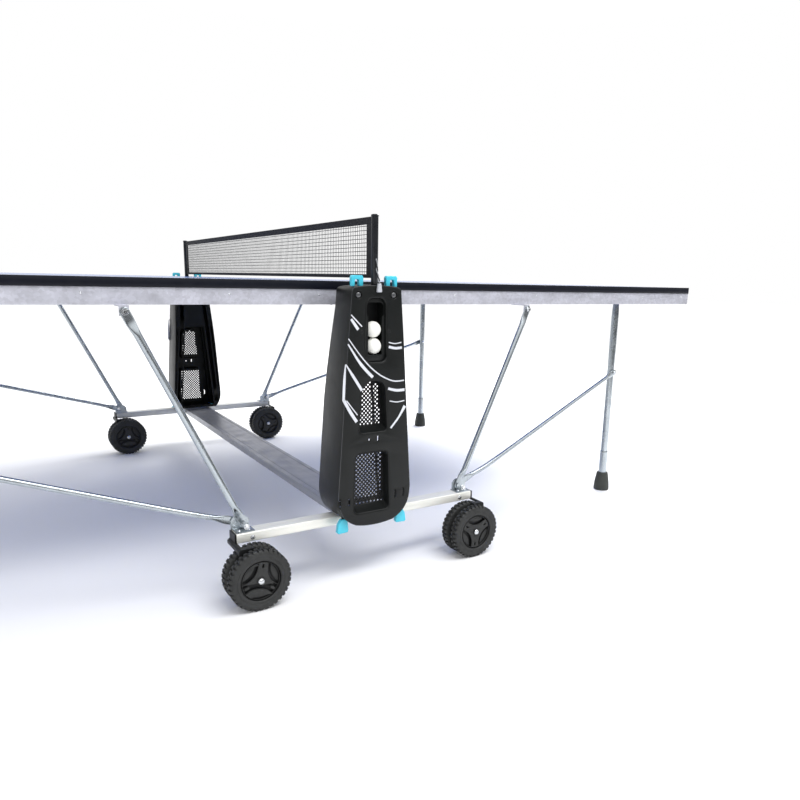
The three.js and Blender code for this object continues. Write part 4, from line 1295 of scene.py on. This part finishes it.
piece("net_mesh", "chassis", [(net_mesh(), net_look)], ["net"])
bands = joined(
    tape(-NET_REACH, NET_REACH, NET_TOP - TAPE, NET_TOP, 1.5, 0.25),
    tape(-NET_REACH, NET_REACH, NET_FOOT, NET_FOOT + SELVEDGE, 1.2),
    tape(-NET_REACH, -NET_REACH + END_BAND, NET_FOOT, NET_TOP - TAPE, 1.4),
    tape(NET_REACH - END_BAND, NET_REACH, NET_FOOT, NET_TOP - TAPE, 1.4))
piece("net_tape", "chassis", [(bands, tape_look)])

route = ((0, -878.7, 814), (0.4, -878.8, 800), (0.8, -879.4, 788), (1.4, -881.6, 776),
         (2.2, -885.4, 766), (2.8, -887.6, 757))


def twisted_pair(path, radius, spread, turns):
    shapes = []
    for phase in (0, math.pi):
        line = []
        for i, point in enumerate(path):
            share = i / (len(path) - 1)
            angle = phase + turns * 2 * math.pi * share
            line.append(point + spread * Vector((math.cos(angle), math.sin(angle) * 0.6, 0)))
        shapes.append(tube(line, radius, 10))
    return shapes


dark, pale = twisted_pair(smooth_path(route), 1.45, 1.5, 2.4)
piece("net_cord", "chassis", [(dark, cord_look), (pale, cord_fleck)], ["tension_cord"])
dress("cord_end", clip_look, 0.9, 3)

BALL_RADIUS, SEAM = 19.95, 0.1
for node in ("ball_lower", "ball_upper"):
    low, high = span(node)
    centre = (low + high) / 2
    profile = [(BALL_RADIUS * math.sin(math.pi * k / 32), -BALL_RADIUS * math.cos(math.pi * k / 32))
               for k in range(33)]
    profile[0], profile[-1] = (0, -BALL_RADIUS), (0, BALL_RADIUS)
    profile[16] = (BALL_RADIUS - SEAM, 0)
    tilt = Matrix.Rotation(0.6, 3, "Y") @ Matrix.Rotation(0.5, 3, "X")
    ball = moved(lathe(profile, 48, "Z"), (0, 0, 0), tilt)
    piece(f"{node}_shell", "chassis", [(moved(ball, centre), ball_look)], [node])


# ---- Floor and light --------------------------------------------------------------------
FLOOR, FLOOR_FRONT = 30.0, 3.3
floor_mesh = bpy.data.meshes.new("floor")
floor_corners = [(-FLOOR, -FLOOR_FRONT, 0), (FLOOR, -FLOOR_FRONT, 0), (FLOOR, FLOOR, 0), (-FLOOR, FLOOR, 0)]
floor_mesh.from_pydata(floor_corners, [], [(0, 1, 2, 3)])
floor = bpy.data.objects.new("floor", floor_mesh)
bpy.context.scene.collection.objects.link(floor)
floor_look = Look("floor")
floor_tones = (0.3, (0.872, 0.873, 0.884, 1)), (0.7, (0.897, 0.898, 0.908, 1))
floor_look.colour(floor_look.ramp(floor_look.noise(1.2, 3), *floor_tones))
floor_look.rough(floor_look.spread(floor_look.noise(3, 4), 0.5, 0.62))
floor_mesh.materials.append(floor_look.material)


def studio():
    """White all round for the eye. As light, bright above and behind the table, dark behind the camera."""
    world = bpy.data.worlds.new("studio")
    bpy.context.scene.world = world
    world.use_nodes = True
    tree = world.node_tree
    nodes, links = tree.nodes, tree.links
    parts = nodes.new("ShaderNodeSeparateXYZ")
    links.new(nodes.new("ShaderNodeTexCoord").outputs["Generated"], parts.inputs["Vector"])
    brightest = nodes.new("ShaderNodeLightPath").outputs["Is Camera Ray"]
    for axis, ends in (("Z", (0.0, 0.42, 0.05, 1.3)), ("Y", (0.2, 0.7, 0.0, 0.9))):
        ramp = nodes.new("ShaderNodeMapRange")
        for socket, value in zip(("From Min", "From Max", "To Min", "To Max"), ends):
            ramp.inputs[socket].default_value = value
        links.new(parts.outputs[axis], ramp.inputs["Value"])
        either = nodes.new("ShaderNodeMath")
        either.operation = "MAXIMUM"
        links.new(ramp.outputs["Result"], either.inputs[0])
        links.new(brightest, either.inputs[1])
        brightest = either.outputs[0]
    links.new(brightest, nodes["Background"].inputs["Strength"])
    nodes["Background"].inputs["Color"].default_value = (1.0, 1.0, 1.0, 1)


studio()
bpy.context.scene.view_settings.view_transform = "Standard"


def softbox(name, at, aim, size, power):
    data = bpy.data.lights.new(name, "AREA")
    data.shape = "RECTANGLE"
    data.size, data.size_y = size
    data.energy = power
    lamp = bpy.data.objects.new(name, data)
    bpy.context.scene.collection.objects.link(lamp)
    lamp.location = at
    lamp.rotation_euler = (Vector(aim) - Vector(at)).to_track_quat("-Z", "Y").to_euler()


softbox("key", (3.4, 1.6, 3.8), (0, 0, 0.4), (2.4, 2.4), 230)
softbox("overhead", (0.4, -2.3, 3.2), (0.1, -0.8, 0.4), (3.0, 0.9), 75)
